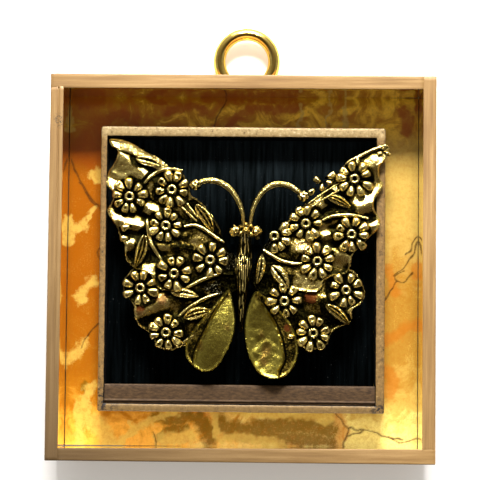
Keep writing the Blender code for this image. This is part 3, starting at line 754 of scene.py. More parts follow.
def leaf(x0, z0, x1, z1, width, hollow, base):
    rows, cols = 40, 25
    a, b = np.array([x0, z0]), np.array([x1, z1])
    along = b - a
    length = np.hypot(*along)
    side = np.array([-along[1], along[0]]) / length
    verts, dark = [], []
    for i in range(rows):
        t = i / (rows - 1)
        half = width / 2 * math.sin(math.pi * (0.03 + 0.94 * t ** 0.85)) ** 0.75
        bend = 0.35 * math.sin(math.pi * t)
        for j in range(cols):
            v = -1 + 2 * j / (cols - 1)
            where = a + along * t + side * (v * half + bend)
            vein = max(0.0, math.cos(2 * math.pi * (t * 5.5 - abs(v) * 0.9))) ** 5 * (abs(v) < 0.85)
            if hollow:
                rim, rib = math.exp(-((abs(v) - 0.70) / 0.24) ** 2), math.exp(-(v / 0.15) ** 2)
                high = 0.25 + 0.80 * rim + 0.45 * rib + 0.15 * vein
                shade = 0.92 - 1.25 * rim - 0.75 * rib - 0.4 * vein + 0.5 * (abs(v) > 0.96)
            else:
                crest = abs(math.sin(math.pi * min(abs(v) * 1.05, 1))) ** 0.8
                high = 0.25 + 0.75 * crest + 0.3 * (abs(v) > 0.85) * math.sin(math.pi * t) - 0.16 * vein
                shade = 0.95 * max(0.0, 1 - abs(v) / 0.30) + 0.45 * (abs(v) > 0.93) + 0.55 * vein
            lift = high * 0.9 * math.sin(math.pi * (0.08 + 0.84 * t)) ** 0.5
            verts.append((*where, base - lift))
            dark.append(shade)
    count = rows * cols
    verts += [(x, z, base + 0.35) for x, z, _ in verts]
    dark += [0.8] * count
    faces = []
    for i in range(rows - 1):
        for j in range(cols - 1):
            q = [i * cols + j, i * cols + j + 1, (i + 1) * cols + j + 1, (i + 1) * cols + j]
            faces += [q, [k + count for k in reversed(q)]]
    border = list(range(cols)) + [i * cols + cols - 1 for i in range(1, rows)]
    border += [(rows - 1) * cols + j for j in range(cols - 2, -1, -1)]
    border += [i * cols for i in range(rows - 2, 0, -1)]
    for p, q in zip(border, border[1:] + border[:1]):
        faces.append([p, q, q + count, p + count])
    return in_place(np.array(verts)), faces, np.array(dark)


def surface_depth(side, x, z):
    """Depth of the sheet that shows at a place: the forewing, or the hindwing below it."""
    point = np.array([[x, z]], float)
    fore = np.array(LEFT_FORE if side < 0 else RIGHT_FORE)
    if inside(point, fore)[0]:
        return float(fore_depth(side, point[:, 0], point[:, 1])[0])
    return float(hind_depth(side, point[:, 0], point[:, 1])[0])


def make_leaves():
    for side, name, leaves in ((-1, "left", LEFT_LEAVES), (1, "right", RIGHT_LEAVES)):
        solids = Solids()
        for x0, z0, x1, z1, width, hollow in leaves:
            base = surface_depth(side, (x0 + x1) / 2, (z0 + z1) / 2) - 0.15
            solids.add(*leaf(x0, z0, x1, z1, width, hollow, base))
        solids.piece(f"leaves_{name}", GOLD, stands_for=[f"wing_{name}"])


make_leaves()

# %% [markdown]
# A daisy has blunt petals round a small ring with a dark pit. Both shapes are turned from rings of points, 1
# unit in size, so that the flower's node tree can give each copy its own size. They could be spheres that are
# squashed, but then the petals would lose their blunt ends and their darkened sides, which are partly the
# finish's dark by the centre and partly painted shade where a petal turns away from the front.

# %% One petal and one centre
def rings_to_faces(rows, count, closed=False, caps=True):
    """Faces between rings of equal count, row after row."""
    faces = []
    for r in range(rows if closed else rows - 1):
        a, b = r * count, ((r + 1) % rows) * count
        faces += [[a + i, a + (i + 1) % count, b + (i + 1) % count, b + i] for i in range(count)]
    if caps and not closed:
        faces.append(list(range(count)))
        faces.append([(rows - 1) * count + i for i in reversed(range(count))])
    return faces


def turned_object(name, verts, dark, rows, around):
    mesh = bpy.data.meshes.new(name)
    mesh.from_pydata(verts, [], rings_to_faces(rows, around))
    set_dark(mesh, dark)
    mesh.shade_smooth()
    return bpy.data.objects.new(name, mesh)


def petal_object(name, dish):
    """A blunt drop along +X, 1 unit long, standing up towards -Y, narrower at the inner end."""
    stops = [(0.0, 0.08, 0.12), (0.08, 0.11, 0.20), (0.22, 0.15, 0.27), (0.40, 0.22, 0.34),
             (0.56, 0.275, 0.38), (0.72, 0.305, 0.39), (0.85, 0.295, 0.35), (0.94, 0.235, 0.25),
             (0.985, 0.14, 0.14), (1.0, 0.04, 0.04)]
    fine = smooth_path(stops, 2)
    around = 18
    verts, dark = [], []
    for u, half, high in fine:
        for k in range(around):
            turn = 2 * math.pi * k / around
            side, up = math.cos(turn), math.sin(turn)
            side = math.copysign(abs(side) ** 0.85, side)
            hollow = dish * math.exp(-((u - 0.68) / 0.2) ** 2) * max(up, 0) ** 4
            verts.append((u, -(high * max(up, 0) ** 0.8 if up > 0 else 0.12 * up) + hollow, half * side))
            # Partly the dark finish by the centre, partly painted shade where the petal turns away from the
            # front.
            shade = 1 - float(ramp(up, 0.05, 0.55) * ramp(u, 0.04, 0.45))
            dark.append(max(shade, hollow * 4))
    return turned_object(name, verts, dark, len(fine), around)


def centre_object():
    """A ring with a dark pit, 1 unit in radius, standing up towards -Y."""
    profile = [(0.0, 0.05), (0.20, 0.06), (0.34, 0.18), (0.42, 0.42), (0.56, 0.56), (0.74, 0.58),
               (0.90, 0.46), (1.0, 0.22), (1.0, -0.2), (0.0, -0.2)]
    shade = [1.0, 1.0, 0.95, 0.5, 0.0, 0.0, 0.05, 0.6, 1.0, 1.0]
    around = 20
    verts, dark = [], []
    for (r, h), s in zip(profile, shade):
        for k in range(around):
            turn = 2 * math.pi * k / around
            verts.append((max(r, 0.002) * math.cos(turn), -h, max(r, 0.002) * math.sin(turn)))
            dark.append(s)
    return turned_object("flower_centre", verts, dark, len(profile), around)


PETAL, SPOON = petal_object("petal", 0.03), petal_object("spoon_petal", 0.13)
CENTRE = centre_object()
print("a petal has", len(PETAL.data.vertices), "points and a centre", len(CENTRE.data.vertices))

# %% [markdown]
# The flowers are grown by a geometry node tree. Its input is one point for each flower, with the
# flower's numbers as attributes. Each point is doubled once for each petal, moved out along the petal's
# angle and given a petal; a ring goes on the flower's own point. A loop in the script could place the
# petals too, but in a tree their size, turn and spread stay named inputs that can be changed at once.

# %% The flower tree
PETAL_START = 1.25


def named_value(tree, name, kind="FLOAT"):
    return node(tree, "GeometryNodeInputNamedAttribute", data_type=kind, Name=name).outputs["Attribute"]


def random_between(tree, seed, low, high, offset):
    made = node(tree, "FunctionNodeRandomValue", data_type="FLOAT")
    for name, value in (("Min", low), ("Max", high)):
        put(tree, next(s for s in made.inputs if s.name == name and s.type == "VALUE"), value)
    put(tree, made.inputs["Seed"], maths(tree, "ADD", seed, offset))
    return next(s for s in made.outputs if s.type == "VALUE" and s.enabled)


def put_out(tree, end, geometry, material):
    """The end of a tree: copies become real and are painted."""
    real = node(tree, "GeometryNodeRealizeInstances", {0: geometry})
    painted = node(tree, "GeometryNodeSetMaterial", {"Geometry": real.outputs[0], "Material": material})
    tree.links.new(painted.outputs[0], end["Geometry"])
    return tree


def flower_tree():
    tree, start, end = new_group(
        "flowers on points", "GeometryNodeTree",
        [("Geometry", "Geometry"), ("Petal", "Object"), ("Spoon petal", "Object"), ("Centre", "Object"),
         ("Material", "Material"), ("Inner radius", "Float", PETAL_START * MM),
         ("Centre radius", "Float", 1.42 * MM), ("Size spread", "Float", 0.13),
         ("Turn spread", "Float", 0.10), ("Seed", "Int", 7)], [("Geometry", "Geometry")])

    def sums(operation, *terms):
        return maths(tree, operation, *terms)

    def spread(low, high, offset):
        return random_between(tree, start["Seed"], low, high, offset)

    def place(on, shape, scale, **links):
        info = node(tree, "GeometryNodeObjectInfo", {"Object": start[shape]})
        return node(tree, "GeometryNodeInstanceOnPoints",
                    {"Points": on, "Instance": info.outputs["Geometry"], **links, "Scale": scale}).outputs[0]

    points = node(tree, "GeometryNodeMeshToPoints", {"Mesh": start["Geometry"]}).outputs[0]
    petals = named_value(tree, "petals", "INT")
    copies = node(tree, "GeometryNodeDuplicateElements", {"Geometry": points, "Amount": petals},
                  domain="POINT")
    share_of_turn = sums("DIVIDE", copies.outputs["Duplicate Index"], petals)
    jitter = spread(sums("MULTIPLY", start["Turn spread"], -1.0), start["Turn spread"], 1)
    opened = sums("MULTIPLY", share_of_turn, named_value(tree, "span"))
    angle = sums("ADD", sums("ADD", named_value(tree, "turn"), opened), jitter)
    held = node(tree, "GeometryNodeStoreNamedAttribute",
                {"Geometry": copies.outputs["Geometry"], "Value": angle},
                data_type="FLOAT", domain="POINT", Name="angle")
    angle, inner = named_value(tree, "angle"), start["Inner radius"]
    way = node(tree, "ShaderNodeCombineXYZ", {"X": sums("MULTIPLY", sums("COSINE", angle), inner),
                                              "Y": spread(-0.15 * MM, 0.15 * MM, 2),
                                              "Z": sums("MULTIPLY", sums("SINE", angle), inner)})
    moved = node(tree, "GeometryNodeSetPosition", {"Geometry": held.outputs["Geometry"],
                                                   "Offset": way.outputs[0]}).outputs[0]
    turn = node(tree, "ShaderNodeCombineXYZ", {"X": spread(-0.25, 0.25, 4),
                                               "Y": sums("MULTIPLY", angle, -1.0),
                                               "Z": spread(-0.05, 0.22, 5)}).outputs[0]
    size_spread = start["Size spread"]
    share = spread(sums("SUBTRACT", 1.0, size_spread), sums("ADD", 1.0, size_spread), 3)
    size = sums("MULTIPLY", sums("SUBTRACT", named_value(tree, "reach"), inner), share)
    kind = spread(0.0, 1.0, 6)
    joined = tree.nodes.new("GeometryNodeJoinGeometry")
    for part in (place(moved, "Petal", size, Rotation=turn, Selection=sums("LESS_THAN", kind, 0.6)),
                 place(moved, "Spoon petal", size, Rotation=turn, Selection=sums("GREATER_THAN", kind, 0.6)),
                 place(points, "Centre", start["Centre radius"],
                       Selection=sums("GREATER_THAN", named_value(tree, "has_centre"), 0.5))):
        tree.links.new(part, joined.inputs[0])
    return put_out(tree, end, joined.outputs[0], start["Material"])


FLOWER_TREE = flower_tree()
print("flower tree:", len(FLOWER_TREE.nodes), "nodes")

# %% [markdown]
# A helper runs a node tree on a start mesh or curve and keeps the result as a plain mesh. The modifier could
# stay live on the piece, but a plain mesh is what the model's body carries.

# %% Growing a piece with a node tree
def grow(name, seed_object, tree, stands_for, **inputs):
    modifier = seed_object.modifiers.new("grow", "NODES")
    modifier.node_group = tree
    ids = {s.name: s.identifier for s in tree.interface.items_tree
           if s.item_type == "SOCKET" and s.in_out == "INPUT"}
    for key, value in inputs.items():
        modifier[ids[key.replace("_", " ")]] = value
    bpy.context.view_layer.update()
    graph = bpy.context.evaluated_depsgraph_get()
    mesh = bpy.data.meshes.new_from_object(seed_object.evaluated_get(graph))
    mesh.name = name
    while len(mesh.materials) > 1 and mesh.materials[0] is None:
        mesh.materials.pop(index=0)
    obj = bpy.data.objects.new(name, mesh)
    bpy.context.scene.collection.objects.link(obj)
    bpy.data.objects.remove(seed_object, do_unlink=True)
    return hand_in(obj, "frame", stands_for)


print("pieces are grown on a start object and kept as plain meshes")

# %% [markdown]
# The flowers of a wing are one piece, because they are cast in one with it. Each flower's point lies on
# the sheet below it. A loose petal is a flower with one petal and no centre.

# %% Flowers
def loose_petal(x, z, angle, length):
    """A flower's numbers that give just one petal with its middle at x, z."""
    out = PETAL_START + length / 2
    return (x - out * math.cos(math.radians(angle)), z - out * math.sin(math.radians(angle)), angle, 1, 0,
            PETAL_START + length, 0)


def make_flowers():
    for side, name, flowers, loose in ((-1, "left", LEFT_FLOWERS, LEFT_LOOSE),
                                       (1, "right", RIGHT_FLOWERS, RIGHT_LOOSE)):
        places = [fly_at(x, z, surface_depth(side, x, z) - 0.35) for x, z, *_ in flowers]
        places += [fly_at(*loose_petal(*p)[:2], surface_depth(side, p[0], p[1]) - 0.2) for p in loose]
        flowers = [(*f[:5], f[5] + 0.35, f[6]) for f in flowers] + [loose_petal(*p) for p in loose]
        mesh = bpy.data.meshes.new("flower_points")
        mesh.from_pydata([tuple(p) for p in places], [], [])
        for key, kind, values in (("turn", "FLOAT", [math.radians(f[2]) for f in flowers]),
                                  ("petals", "INT", [f[3] for f in flowers]),
                                  ("span", "FLOAT", [math.radians(f[4]) for f in flowers]),
                                  ("reach", "FLOAT", [f[5] * MM for f in flowers]),
                                  ("has_centre", "FLOAT", [float(f[6]) for f in flowers])):
            mesh.attributes.new(key, kind, "POINT").data.foreach_set("value", values)
        points = bpy.data.objects.new("flower_points", mesh)
        bpy.context.scene.collection.objects.link(points)
        grow(f"flowers_{name}", points, FLOWER_TREE, [f"wing_{name}"], Petal=PETAL, Spoon_petal=SPOON,
             Centre=CENTRE, Material=GOLD, Seed=11 + side)


make_flowers()

# %% [markdown]
# Stems, veins and the body's fine ridges are all round bars along a path. Each could be a curve with a
# bevel, but one node tree sweeps a circle along any curve, thick in the middle and thinner at its ends,
# and its thickness, end share and number of sides are named inputs.

# %% The bar tree
def bar_tree():
    tree, start, end = new_group(
        "bars along paths", "GeometryNodeTree",
        [("Geometry", "Geometry"), ("Material", "Material"), ("Thickness", "Float", 0.5 * MM),
         ("End share", "Float", 0.55), ("Sides", "Int", 12)], [("Geometry", "Geometry")])
    factor = tree.nodes.new("GeometryNodeSplineParameter").outputs["Factor"]
    arch = maths(tree, "POWER", maths(tree, "SINE", maths(tree, "MULTIPLY", factor, math.pi)), 0.6)
    least = start["End share"]
    taper = maths(tree, "ADD", least, maths(tree, "MULTIPLY", maths(tree, "SUBTRACT", 1.0, least), arch))
    own = tree.nodes.new("GeometryNodeInputRadius").outputs[0]
    radius = maths(tree, "MULTIPLY", maths(tree, "MULTIPLY", taper, own), start["Thickness"])
    sized = node(tree, "GeometryNodeSetCurveRadius", {"Curve": start["Geometry"], "Radius": radius})
    circle = node(tree, "GeometryNodeCurvePrimitiveCircle", {"Resolution": start["Sides"]}, Radius=1.0)
    swept = node(tree, "GeometryNodeCurveToMesh",
                 {"Curve": sized.outputs[0], "Profile Curve": circle.outputs[0], "Scale": own},
                 Fill_Caps=True)
    smooth = node(tree, "GeometryNodeSetShadeSmooth", {"Geometry": swept.outputs[0]})
    return put_out(tree, end, smooth.outputs[0], start["Material"])


BAR_TREE = bar_tree()
print("bar tree:", len(BAR_TREE.nodes), "nodes")

# %% [markdown]
# A stem or a vein is a line of points on the sheet, evened out so that it bridges the folds as wire does, and
# swept by the bar tree. What faces sideways is darkened, as painted shade on the sides turned away from the
# front.

# %% Stems and veins
def curve_object(name, paths, shares=None):
    """One spline for each path of 3-D points in metres, each with its share of the thickness."""
    data = bpy.data.curves.new(name, "CURVE")
    data.dimensions = "3D"
    for path, share in zip(paths, shares or [1.0] * len(paths)):
        spline = data.splines.new("POLY")
        spline.points.add(len(path) - 1)
        spline.points.foreach_set("co", np.column_stack([path, np.ones(len(path))]).ravel())
        spline.points.foreach_set("radius", [share] * len(path))
    obj = bpy.data.objects.new(name, data)
    bpy.context.scene.collection.objects.link(obj)
    return obj


def read_vectors(mesh, kind):
    """The points' places ("co") or directions ("normal")."""
    values = np.zeros(len(mesh.vertices) * 3, np.float32)
    mesh.vertices.foreach_get(kind, values)
    return values.reshape(-1, 3)


def facing_shade(mesh, low=-0.1, high=0.75):
    """Painted shade: dark where the surface doesn't face the front."""
    return 1 - ramp(-read_vectors(mesh, "normal")[:, 1], low, high)


def make_stems():
    for side, name, kind, stems, thick in (
            (-1, "left", "stems", LEFT_STEMS, 0.52), (1, "right", "stems", RIGHT_STEMS, 0.52),
            (-1, "left", "veins", LEFT_VEINS, 0.32), (1, "right", "veins", RIGHT_VEINS, 0.19)):
        paths = []
        for stem in stems:
            line = smooth_path(stem, 8)
            depth = np.array([surface_depth(side, x, z) for x, z in line])
            depth = np.convolve(np.pad(depth, 4, "edge"), np.ones(9) / 9, "valid") - thick * 0.6
            paths.append(fly_at(line[:, 0], line[:, 1], depth))
        obj = grow(f"{kind}_{name}", curve_object("stem_paths", paths), BAR_TREE, [f"wing_{name}"],
                   Material=GOLD, Thickness=thick * MM)
        set_dark(obj.data, facing_shade(obj.data))


make_stems()

# %% [markdown]
# The body is a slim core with fine bars along it, like a bundle of reeds, so that light and dark lines
# run from the head to the tail. The lines could be a bump in the finish, but real bars catch the light
# from any side.

# %% Body
BODY_DEPTH = 5.1
# Height, middle, half width and how far it stands forward
BODY_STATIONS = [
    (-19.4, -1.2, 0.30, 0.4), (-17.6, -1.2, 0.5, 0.7), (-14.6, -1.1, 0.8, 1.2), (-8.8, -0.9, 1.4, 2.1),
    (-5.0, -0.8, 1.9, 2.5), (-2.2, -0.7, 2.2, 2.55), (1.0, -0.5, 2.2, 1.75), (2.6, -0.3, 1.8, 1.5),
    (5.6, -0.2, 1.6, 1.6), (6.8, -0.1, 1.3, 1.6), (8.2, 0.0, 0.9, 1.2),
]
# Each reed: its places as x, z and its share of the thickness
REEDS = [
    ([(-1.9, 6.4), (-1.7, 3.0), (-1.6, 0.9)], 0.75), ([(-1.2, 6.9), (-1.3, 3.6), (-1.1, 0.8)], 0.8),
    ([(-0.4, 7.0), (-0.3, 4.0), (-0.3, 0.8)], 1.15), ([(0.4, 6.6), (0.5, 3.6), (0.6, 0.8)], 0.8),
    ([(1.1, 6.0), (1.25, 3.5), (1.3, 0.9)], 0.7), ([(-2.75, 0.0), (-2.8, -2.0), (-2.5, -4.5)], 0.7),
    ([(-2.35, 0.4), (-2.3, -3.5), (-2.1, -8.2)], 0.7),
    ([(-1.8, 1.2), (-1.7, -3.0), (-1.55, -8.0), (-1.5, -12.6)], 0.95),
    ([(-1.2, 0.3), (-1.15, -2.5), (-1.1, -5.6)], 0.75),
    ([(-0.75, 1.1), (-0.65, -3.0), (-0.75, -8.0), (-0.9, -12.4)], 1.1),
    ([(-0.15, 0.5), (-0.1, -3.0), (-0.15, -6.5), (-0.25, -9.0)], 0.85),
    ([(0.4, 1.0), (0.4, -2.5), (0.3, -5.2)], 0.9), ([(0.95, 0.2), (0.9, -2.0), (0.65, -6.0)], 0.7),
    ([(1.4, 0.9), (1.4, -1.5), (1.2, -3.6)], 0.6), ([(-1.7, -11.0), (-1.65, -13.0), (-1.6, -15.2)], 0.6),
    ([(-1.2, -13.2), (-1.2, -14.6), (-1.25, -16.6)], 0.7),
    ([(-0.5, -11.2), (-0.6, -13.5), (-0.8, -15.6)], 0.65),
]


def body_section(z):
    stations = smooth_path(BODY_STATIONS, 6).T
    return [np.interp(z, stations[0], values) for values in stations[1:]]


def make_body():
    rows, count = 60, 24
    verts = []
    for z in np.linspace(BODY_STATIONS[0][0], BODY_STATIONS[-1][0], rows):
        middle, half, reach = body_section(z)
        turn = np.arange(count) * 2 * np.pi / count
        depth = BODY_DEPTH - np.where(np.sin(turn) > 0, np.sin(turn) * reach * 0.8, np.sin(turn) * 1.4)
        verts.append(np.column_stack([middle + np.cos(turn) * half * 0.95, np.full(count, z), depth]))
    add_piece("body_core", in_place(np.concatenate(verts)), rings_to_faces(rows, count), GOLD,
              dark=np.full(rows * count, 1.0), stands_for=["body"])
    paths = []
    for k, (points, _) in enumerate(REEDS):
        x, z = even_steps(smooth_path(points, 8), 0.25).T
        middle, half, reach = body_section(z)
        x = x + 0.05 * np.sin(z * 1.3 + k * 1.7)
        across = np.clip(1 - ((x - middle) / half) ** 2, 0.03, 1)
        nod = 0.05 * np.sin(z * 1.9 + k * 2.9)
        paths.append(fly_at(x, z, BODY_DEPTH - np.sqrt(across) * reach * 0.84 + nod))
    obj = grow("body_reeds", curve_object("reed_paths", paths, [share for _, share in REEDS]), BAR_TREE,
               ["body"], Material=GOLD, Thickness=0.21 * MM, End_share=0.4, Sides=10)
    x, _, z = (read_vectors(obj.data, "co") / MM).T
    middle, half, _ = body_section(z - FLY_Z)
    # Painted shade: the reeds are darker towards the body's sides and towards the head, on top of the
    # darkening of their sides that turn from the front.
    tone = 0.5 * ramp(np.abs(x - FLY_X - middle) / half, 0.35, 0.9) + 0.25 * ramp(z - FLY_Z, 0.8, 1.6)
    breaks = 0.75 * ramp(rough(x * 2.2, z * 0.6, 1.0, 41.0), 0.08, 0.36)
    set_dark(obj.data, np.maximum(facing_shade(obj.data, 0.20, 0.66), np.maximum(tone, breaks)))


make_body()

# %% [markdown]
# The head is a cluster of small beads: two large eyes and a few smaller ones between them. Plain spheres
# would look too new, so each is an icosphere that noise makes lumpy, and its hollows are dark. Where a bead
# turns away from the front it is darkened as painted shade.

# %% Head
def bead(x, z, depth, radius, seed, lumps=0.06, least_dark=0.0):
    """A slightly lumpy ball."""
    bm = bmesh.new()
    bmesh.ops.create_icosphere(bm, subdivisions=4, radius=1.0)
    verts = np.array([v.co[:] for v in bm.verts])
    faces = [[v.index for v in f.verts] for f in bm.faces]
    bm.free()
    bumps = np.array([noise.noise(Vector(v) * 2.2 + Vector((seed, 0, 0))) for v in verts])
    verts = verts * (1 + lumps * bumps)[:, None]
    # Painted shade where the ball turns away from the front; the finish stays dark in the lumps' hollows
    # below.
    dark = (1 - ramp(-verts[:, 1], -0.05, 0.6)) * 0.9
    dark = np.maximum(dark, ramp(-bumps, 0.12, 0.42) * 0.8)
    return fly_at(x, z, depth) + verts * radius * MM, faces, np.maximum(dark, least_dark)


def make_head():
    solids = Solids()
    beads = [(-2.95, 7.2, 4.7, 1.5), (2.65, 7.3, 4.7, 1.4), (-1.35, 8.3, 4.9, 0.8), (1.15, 8.4, 4.9, 0.8),
             (-0.1, 7.4, 4.3, 1.0), (-1.6, 6.6, 4.8, 0.8), (1.5, 6.3, 4.8, 0.75), (2.9, 5.6, 5.3, 0.6),
             (0.0, 9.0, 5.1, 0.6)]
    for k, (x, z, depth, radius) in enumerate(beads):
        solids.add(*bead(x, z, depth, radius, k * 3.1, 0.26, least_dark=0.0 if k < 2 else 0.36))
    solids.piece("head", GOLD, stands_for=["body"])


make_head()

# %% [markdown]
# Each feeler is a flattened wire that swings up from the head and ends in a lumpy ball. The bar tree makes
# round wires only, so the wire is a row of oval rings across its path, with fine dark lines along it. Its
# sides, which turn away from the front, are darkened as painted shade.

# %% Feelers
FEELERS = {
    "left": [(-0.75, 8.6), (-1.0, 11.9), (-1.9, 14.6), (-3.4, 17.2), (-5.2, 19.0), (-7.4, 20.2), (-9.8, 20.6),
             (-12.1, 20.2), (-13.7, 19.4)],
    "right": [(0.95, 8.6), (1.5, 12.4), (2.7, 15.4), (4.4, 17.9), (6.8, 19.5), (9.2, 19.8), (11.7, 19.1),
              (13.7, 17.8), (14.9, 16.6)],
}


def make_feelers():
    for name, points in FEELERS.items():
        line = smooth_path(points, 8)
        along = np.linspace(0, 1, len(line))
        width = np.interp(along, [0, 0.12, 0.5, 0.85, 1.0], [0.45, 0.58, 0.88, 0.78, 0.55])
        way = np.gradient(line, axis=0)
        way /= np.linalg.norm(way, axis=1)[:, None]
        side = np.stack([-way[:, 1], way[:, 0]], -1)
        count = 24
        turn = np.arange(count) * 2 * np.pi / count
        lines = 0.12 + 0.55 * (np.cos(6 * turn) > 0.6)
        verts, dark = [], []
        for p, s, w in zip(line, side, width):
            across = np.sign(np.cos(turn)) * np.abs(np.cos(turn)) ** 0.8 * w
            depth = 4.9 - np.sin(turn) * 0.52
            verts.append(np.column_stack([p + s * across[:, None], depth]))
            # Painted shade on the sides that turn away from the front, with the fine dark lines.
            dark.append(np.maximum(1 - ramp(np.sin(turn), 0.25, 0.85), lines))
        solids = Solids()
        solids.add(in_place(np.concatenate(verts)), rings_to_faces(len(line), count), np.concatenate(dark))
        x, z = points[-1]
        solids.add(*bead(x, z, 4.85, 1.4, 5.0, 0.3))
        solids.piece(f"feeler_wire_{name}", GOLD, stands_for=[f"feeler_{name}"])


make_feelers()

# %% [markdown]
# The outer box is four painted rails. Their fronts and outsides are matt gold paint with streaks along
# the wood; their inner walls are a bright foil that mirrors the paper. The paint could be one flat colour
# with a wood picture, but streaks along the rail's own UV turn with each rail by themselves.

# %% Gold paint and foil
def grained(name, stretch, grain, colours, roughness, relief=None, **sockets):
    """A finish whose one noise, given as scale, detail and roughness, drives colour, gloss and relief."""
    material, tree, shader = new_material(name)
    pattern = noise_of(tree, coords(tree, stretch), *grain)
    gloss = curve_of(tree, pattern, *roughness) if isinstance(roughness, tuple) else roughness
    fit(tree, shader, Base_Color=curve_of(tree, pattern, *colours), Roughness=gloss, **sockets)
    if relief:
        fit(tree, shader, Normal=bump(tree, pattern, *relief))
    return material


def make_gold_paint():
    material, tree, shader = new_material("gold_paint")
    flat = coords(tree)
    streaks = noise_of(tree, stretched(tree, "UV", (0.035, 1.1, 1.0)), 1.0, 5.0, 0.62)
    broad = noise_of(tree, stretched(tree, "UV", (0.03, 0.12, 1.0)), 1.0, 2.0)
    fine = noise_of(tree, flat, 2.2, 4.0, 0.7)
    tone = shifted(tree, broad, 0.5, streaks)
    colour = curve_of(tree, tone, (0.32, (0.25, 0.132, 0.040)), (0.50, (0.34, 0.192, 0.062)),
                      (0.66, (0.45, 0.27, 0.100)))
    colour = mix(tree, curve_of(tree, fine, (0.56, 0.0), (0.76, 0.30)), colour, (0.23, 0.125, 0.040))
    # Painted shade: the paint is darker towards the lower left of the box.
    places = node(tree, "ShaderNodeSeparateXYZ", {0: flat})
    low = maths(tree, "MULTIPLY_ADD", places.outputs["Z"], -1 / 105.0, -0.12, clamp=True)
    left = maths(tree, "MULTIPLY_ADD", places.outputs["X"], -1 / 105.0, 0.5, clamp=True)
    shade = maths(tree, "MULTIPLY", low, maths(tree, "MULTIPLY_ADD", left, 0.78, 0.14))
    colour = mix(tree, shade, colour, (0.075, 0.042, 0.014))
    # Painted shade: the top is a little darker, to temper the light from above.
    top = maths(tree, "MULTIPLY_ADD", places.outputs["Z"], 1 / 50.0, 65 / 50.0, clamp=True)
    colour = mix(tree, maths(tree, "MULTIPLY", top, 0.12), colour, (0.02, 0.01, 0.003))
    chips = maths(tree, "MULTIPLY", near_place(tree, flat, (-48.2, -23.4, -25.5), 0.8, 2.6),
                  curve_of(tree, fine, (0.52, 0.0), (0.56, 1.0)))
    colour = mix(tree, chips, colour, (0.02, 0.012, 0.006))
    fit(tree, shader, Base_Color=colour, Metallic=0.15,
        Roughness=curve_of(tree, fine, (0.3, 0.46), (0.7, 0.62)),
        Normal=bump(tree, maths(tree, "ADD", fine, streaks), 0.30, 0.10))
    return material


PAINT = make_gold_paint()
FOIL = grained("bright_foil", (1, 1, 1), (0.35, 3.0), ((0.35, (0.90, 0.83, 0.70)), (0.7, (0.97, 0.92, 0.82))),
               ((0.3, 0.03), (0.8, 0.09)), Metallic=1.0)
print("finishes of the rails:", PAINT.name, FOIL.name)

# %% [markdown]
# A rail is one section carried along the side of the box. The rails pass each other in turn at the
# corners, so each corner shows one butt joint. The work is by hand, so a rail can be wider at one end.
# The left rail's front has a fine groove that dies away downwards. A bevelled block would be simpler, but
# a carried section gives rows of points along the rail, for its soft waves and its UV.

# %% Outer rails
HALF, RAIL, DEEP = 50.8, 3.45, 20.0


def rail_section(groove):
    """The section as (distance from the outer edge, depth), going round."""
    ease = 0.3
    quarter = [(1 - math.cos(t), 1 - math.sin(t)) for t in np.linspace(0, math.pi / 2, 4)]
    points = [(ease * a, ease * b) for a, b in quarter]
    if groove:
        points += [(1.2, 0.0), (1.95, 0.0), (2.05, 0.2), (2.2, 0.22), (2.32, 0.0), (2.45, -0.06),
                   (2.9, -0.06)]
    else:
        points += [(a, 0.0) for a in np.linspace(0.8, RAIL - 0.8, 5)]
    points += [(RAIL - 0.12 * a, 0.12 * b) for a, b in reversed(quarter)]
    points += [(RAIL, d) for d in (3.0, 7.0, 11.0, 15.0)] + [(RAIL, DEEP - 0.2), (RAIL - 0.2, DEEP)]
    points += [(RAIL / 2, DEEP), (0.3, DEEP), (0.0, DEEP - 0.3)] + [(0.0, d) for d in (15.0, 10.0, 5.0, 2.0)]
    return points


def make_rail(name, start, stop, outward, along, widths=(RAIL, RAIL), groove=False):
    """start and stop are places along the side; outward and along are unit (x, z) directions."""
    section = rail_section(groove)
    round_the_rail = np.concatenate([[0], np.cumsum(np.hypot(*np.diff(np.array(section), axis=0).T))])
    ease = 0.12
    stops = [start, start + ease, *np.arange(start + 1, stop - 0.9, 1.0), stop - ease, stop]
    middle = np.mean(section, axis=0)
    verts, uv = [], []
    for k, s in enumerate(stops):
        shrink = ease if k in (0, len(stops) - 1) else 0.0
        share = (s - start) / (stop - start)
        width = widths[0] + (widths[1] - widths[0]) * share
        for (a, d), along_section in zip(section, round_the_rail):
            if groove and -0.1 < d < 0.25 and 1.2 < a < 3.0:
                d = d * float(ramp(share, 0.15, 0.55))
            pull = np.clip(middle - (a, d), -1, 1) * shrink
            front = d < 1 and 0.2 < a < RAIL - 0.2
            wave = 0.05 * abs(noise.noise(Vector((s / 9, a, outward[0] * 3 + outward[1])))) if front else 0.0
            out = HALF - (a * width / RAIL + pull[0])
            verts.append(box_at(outward[0] * out + along[0] * s, outward[1] * out + along[1] * s,
                                max(d + pull[1] + wave, -0.06)))
            uv.append((s + 37.0 * outward[0] + 71.0 * outward[1], along_section))
    obj = add_piece(name, verts, rings_to_faces(len(stops), len(section)), PAINT,
                    stands_for=[name.replace("outer", "frame")], sharp=50)
    layer = obj.data.uv_layers.new(name="UVMap")
    for loop in obj.data.loops:
        layer.data[loop.index].uv = uv[loop.vertex_index]
    obj.data.materials.append(FOIL)
    toward = Vector((-outward[0], 0, -outward[1]))
    for face in obj.data.polygons:
        if face.normal.dot(toward) > 0.9 and face.center.y > (FRONT_Y + 0.3) * MM:
            face.material_index = 1


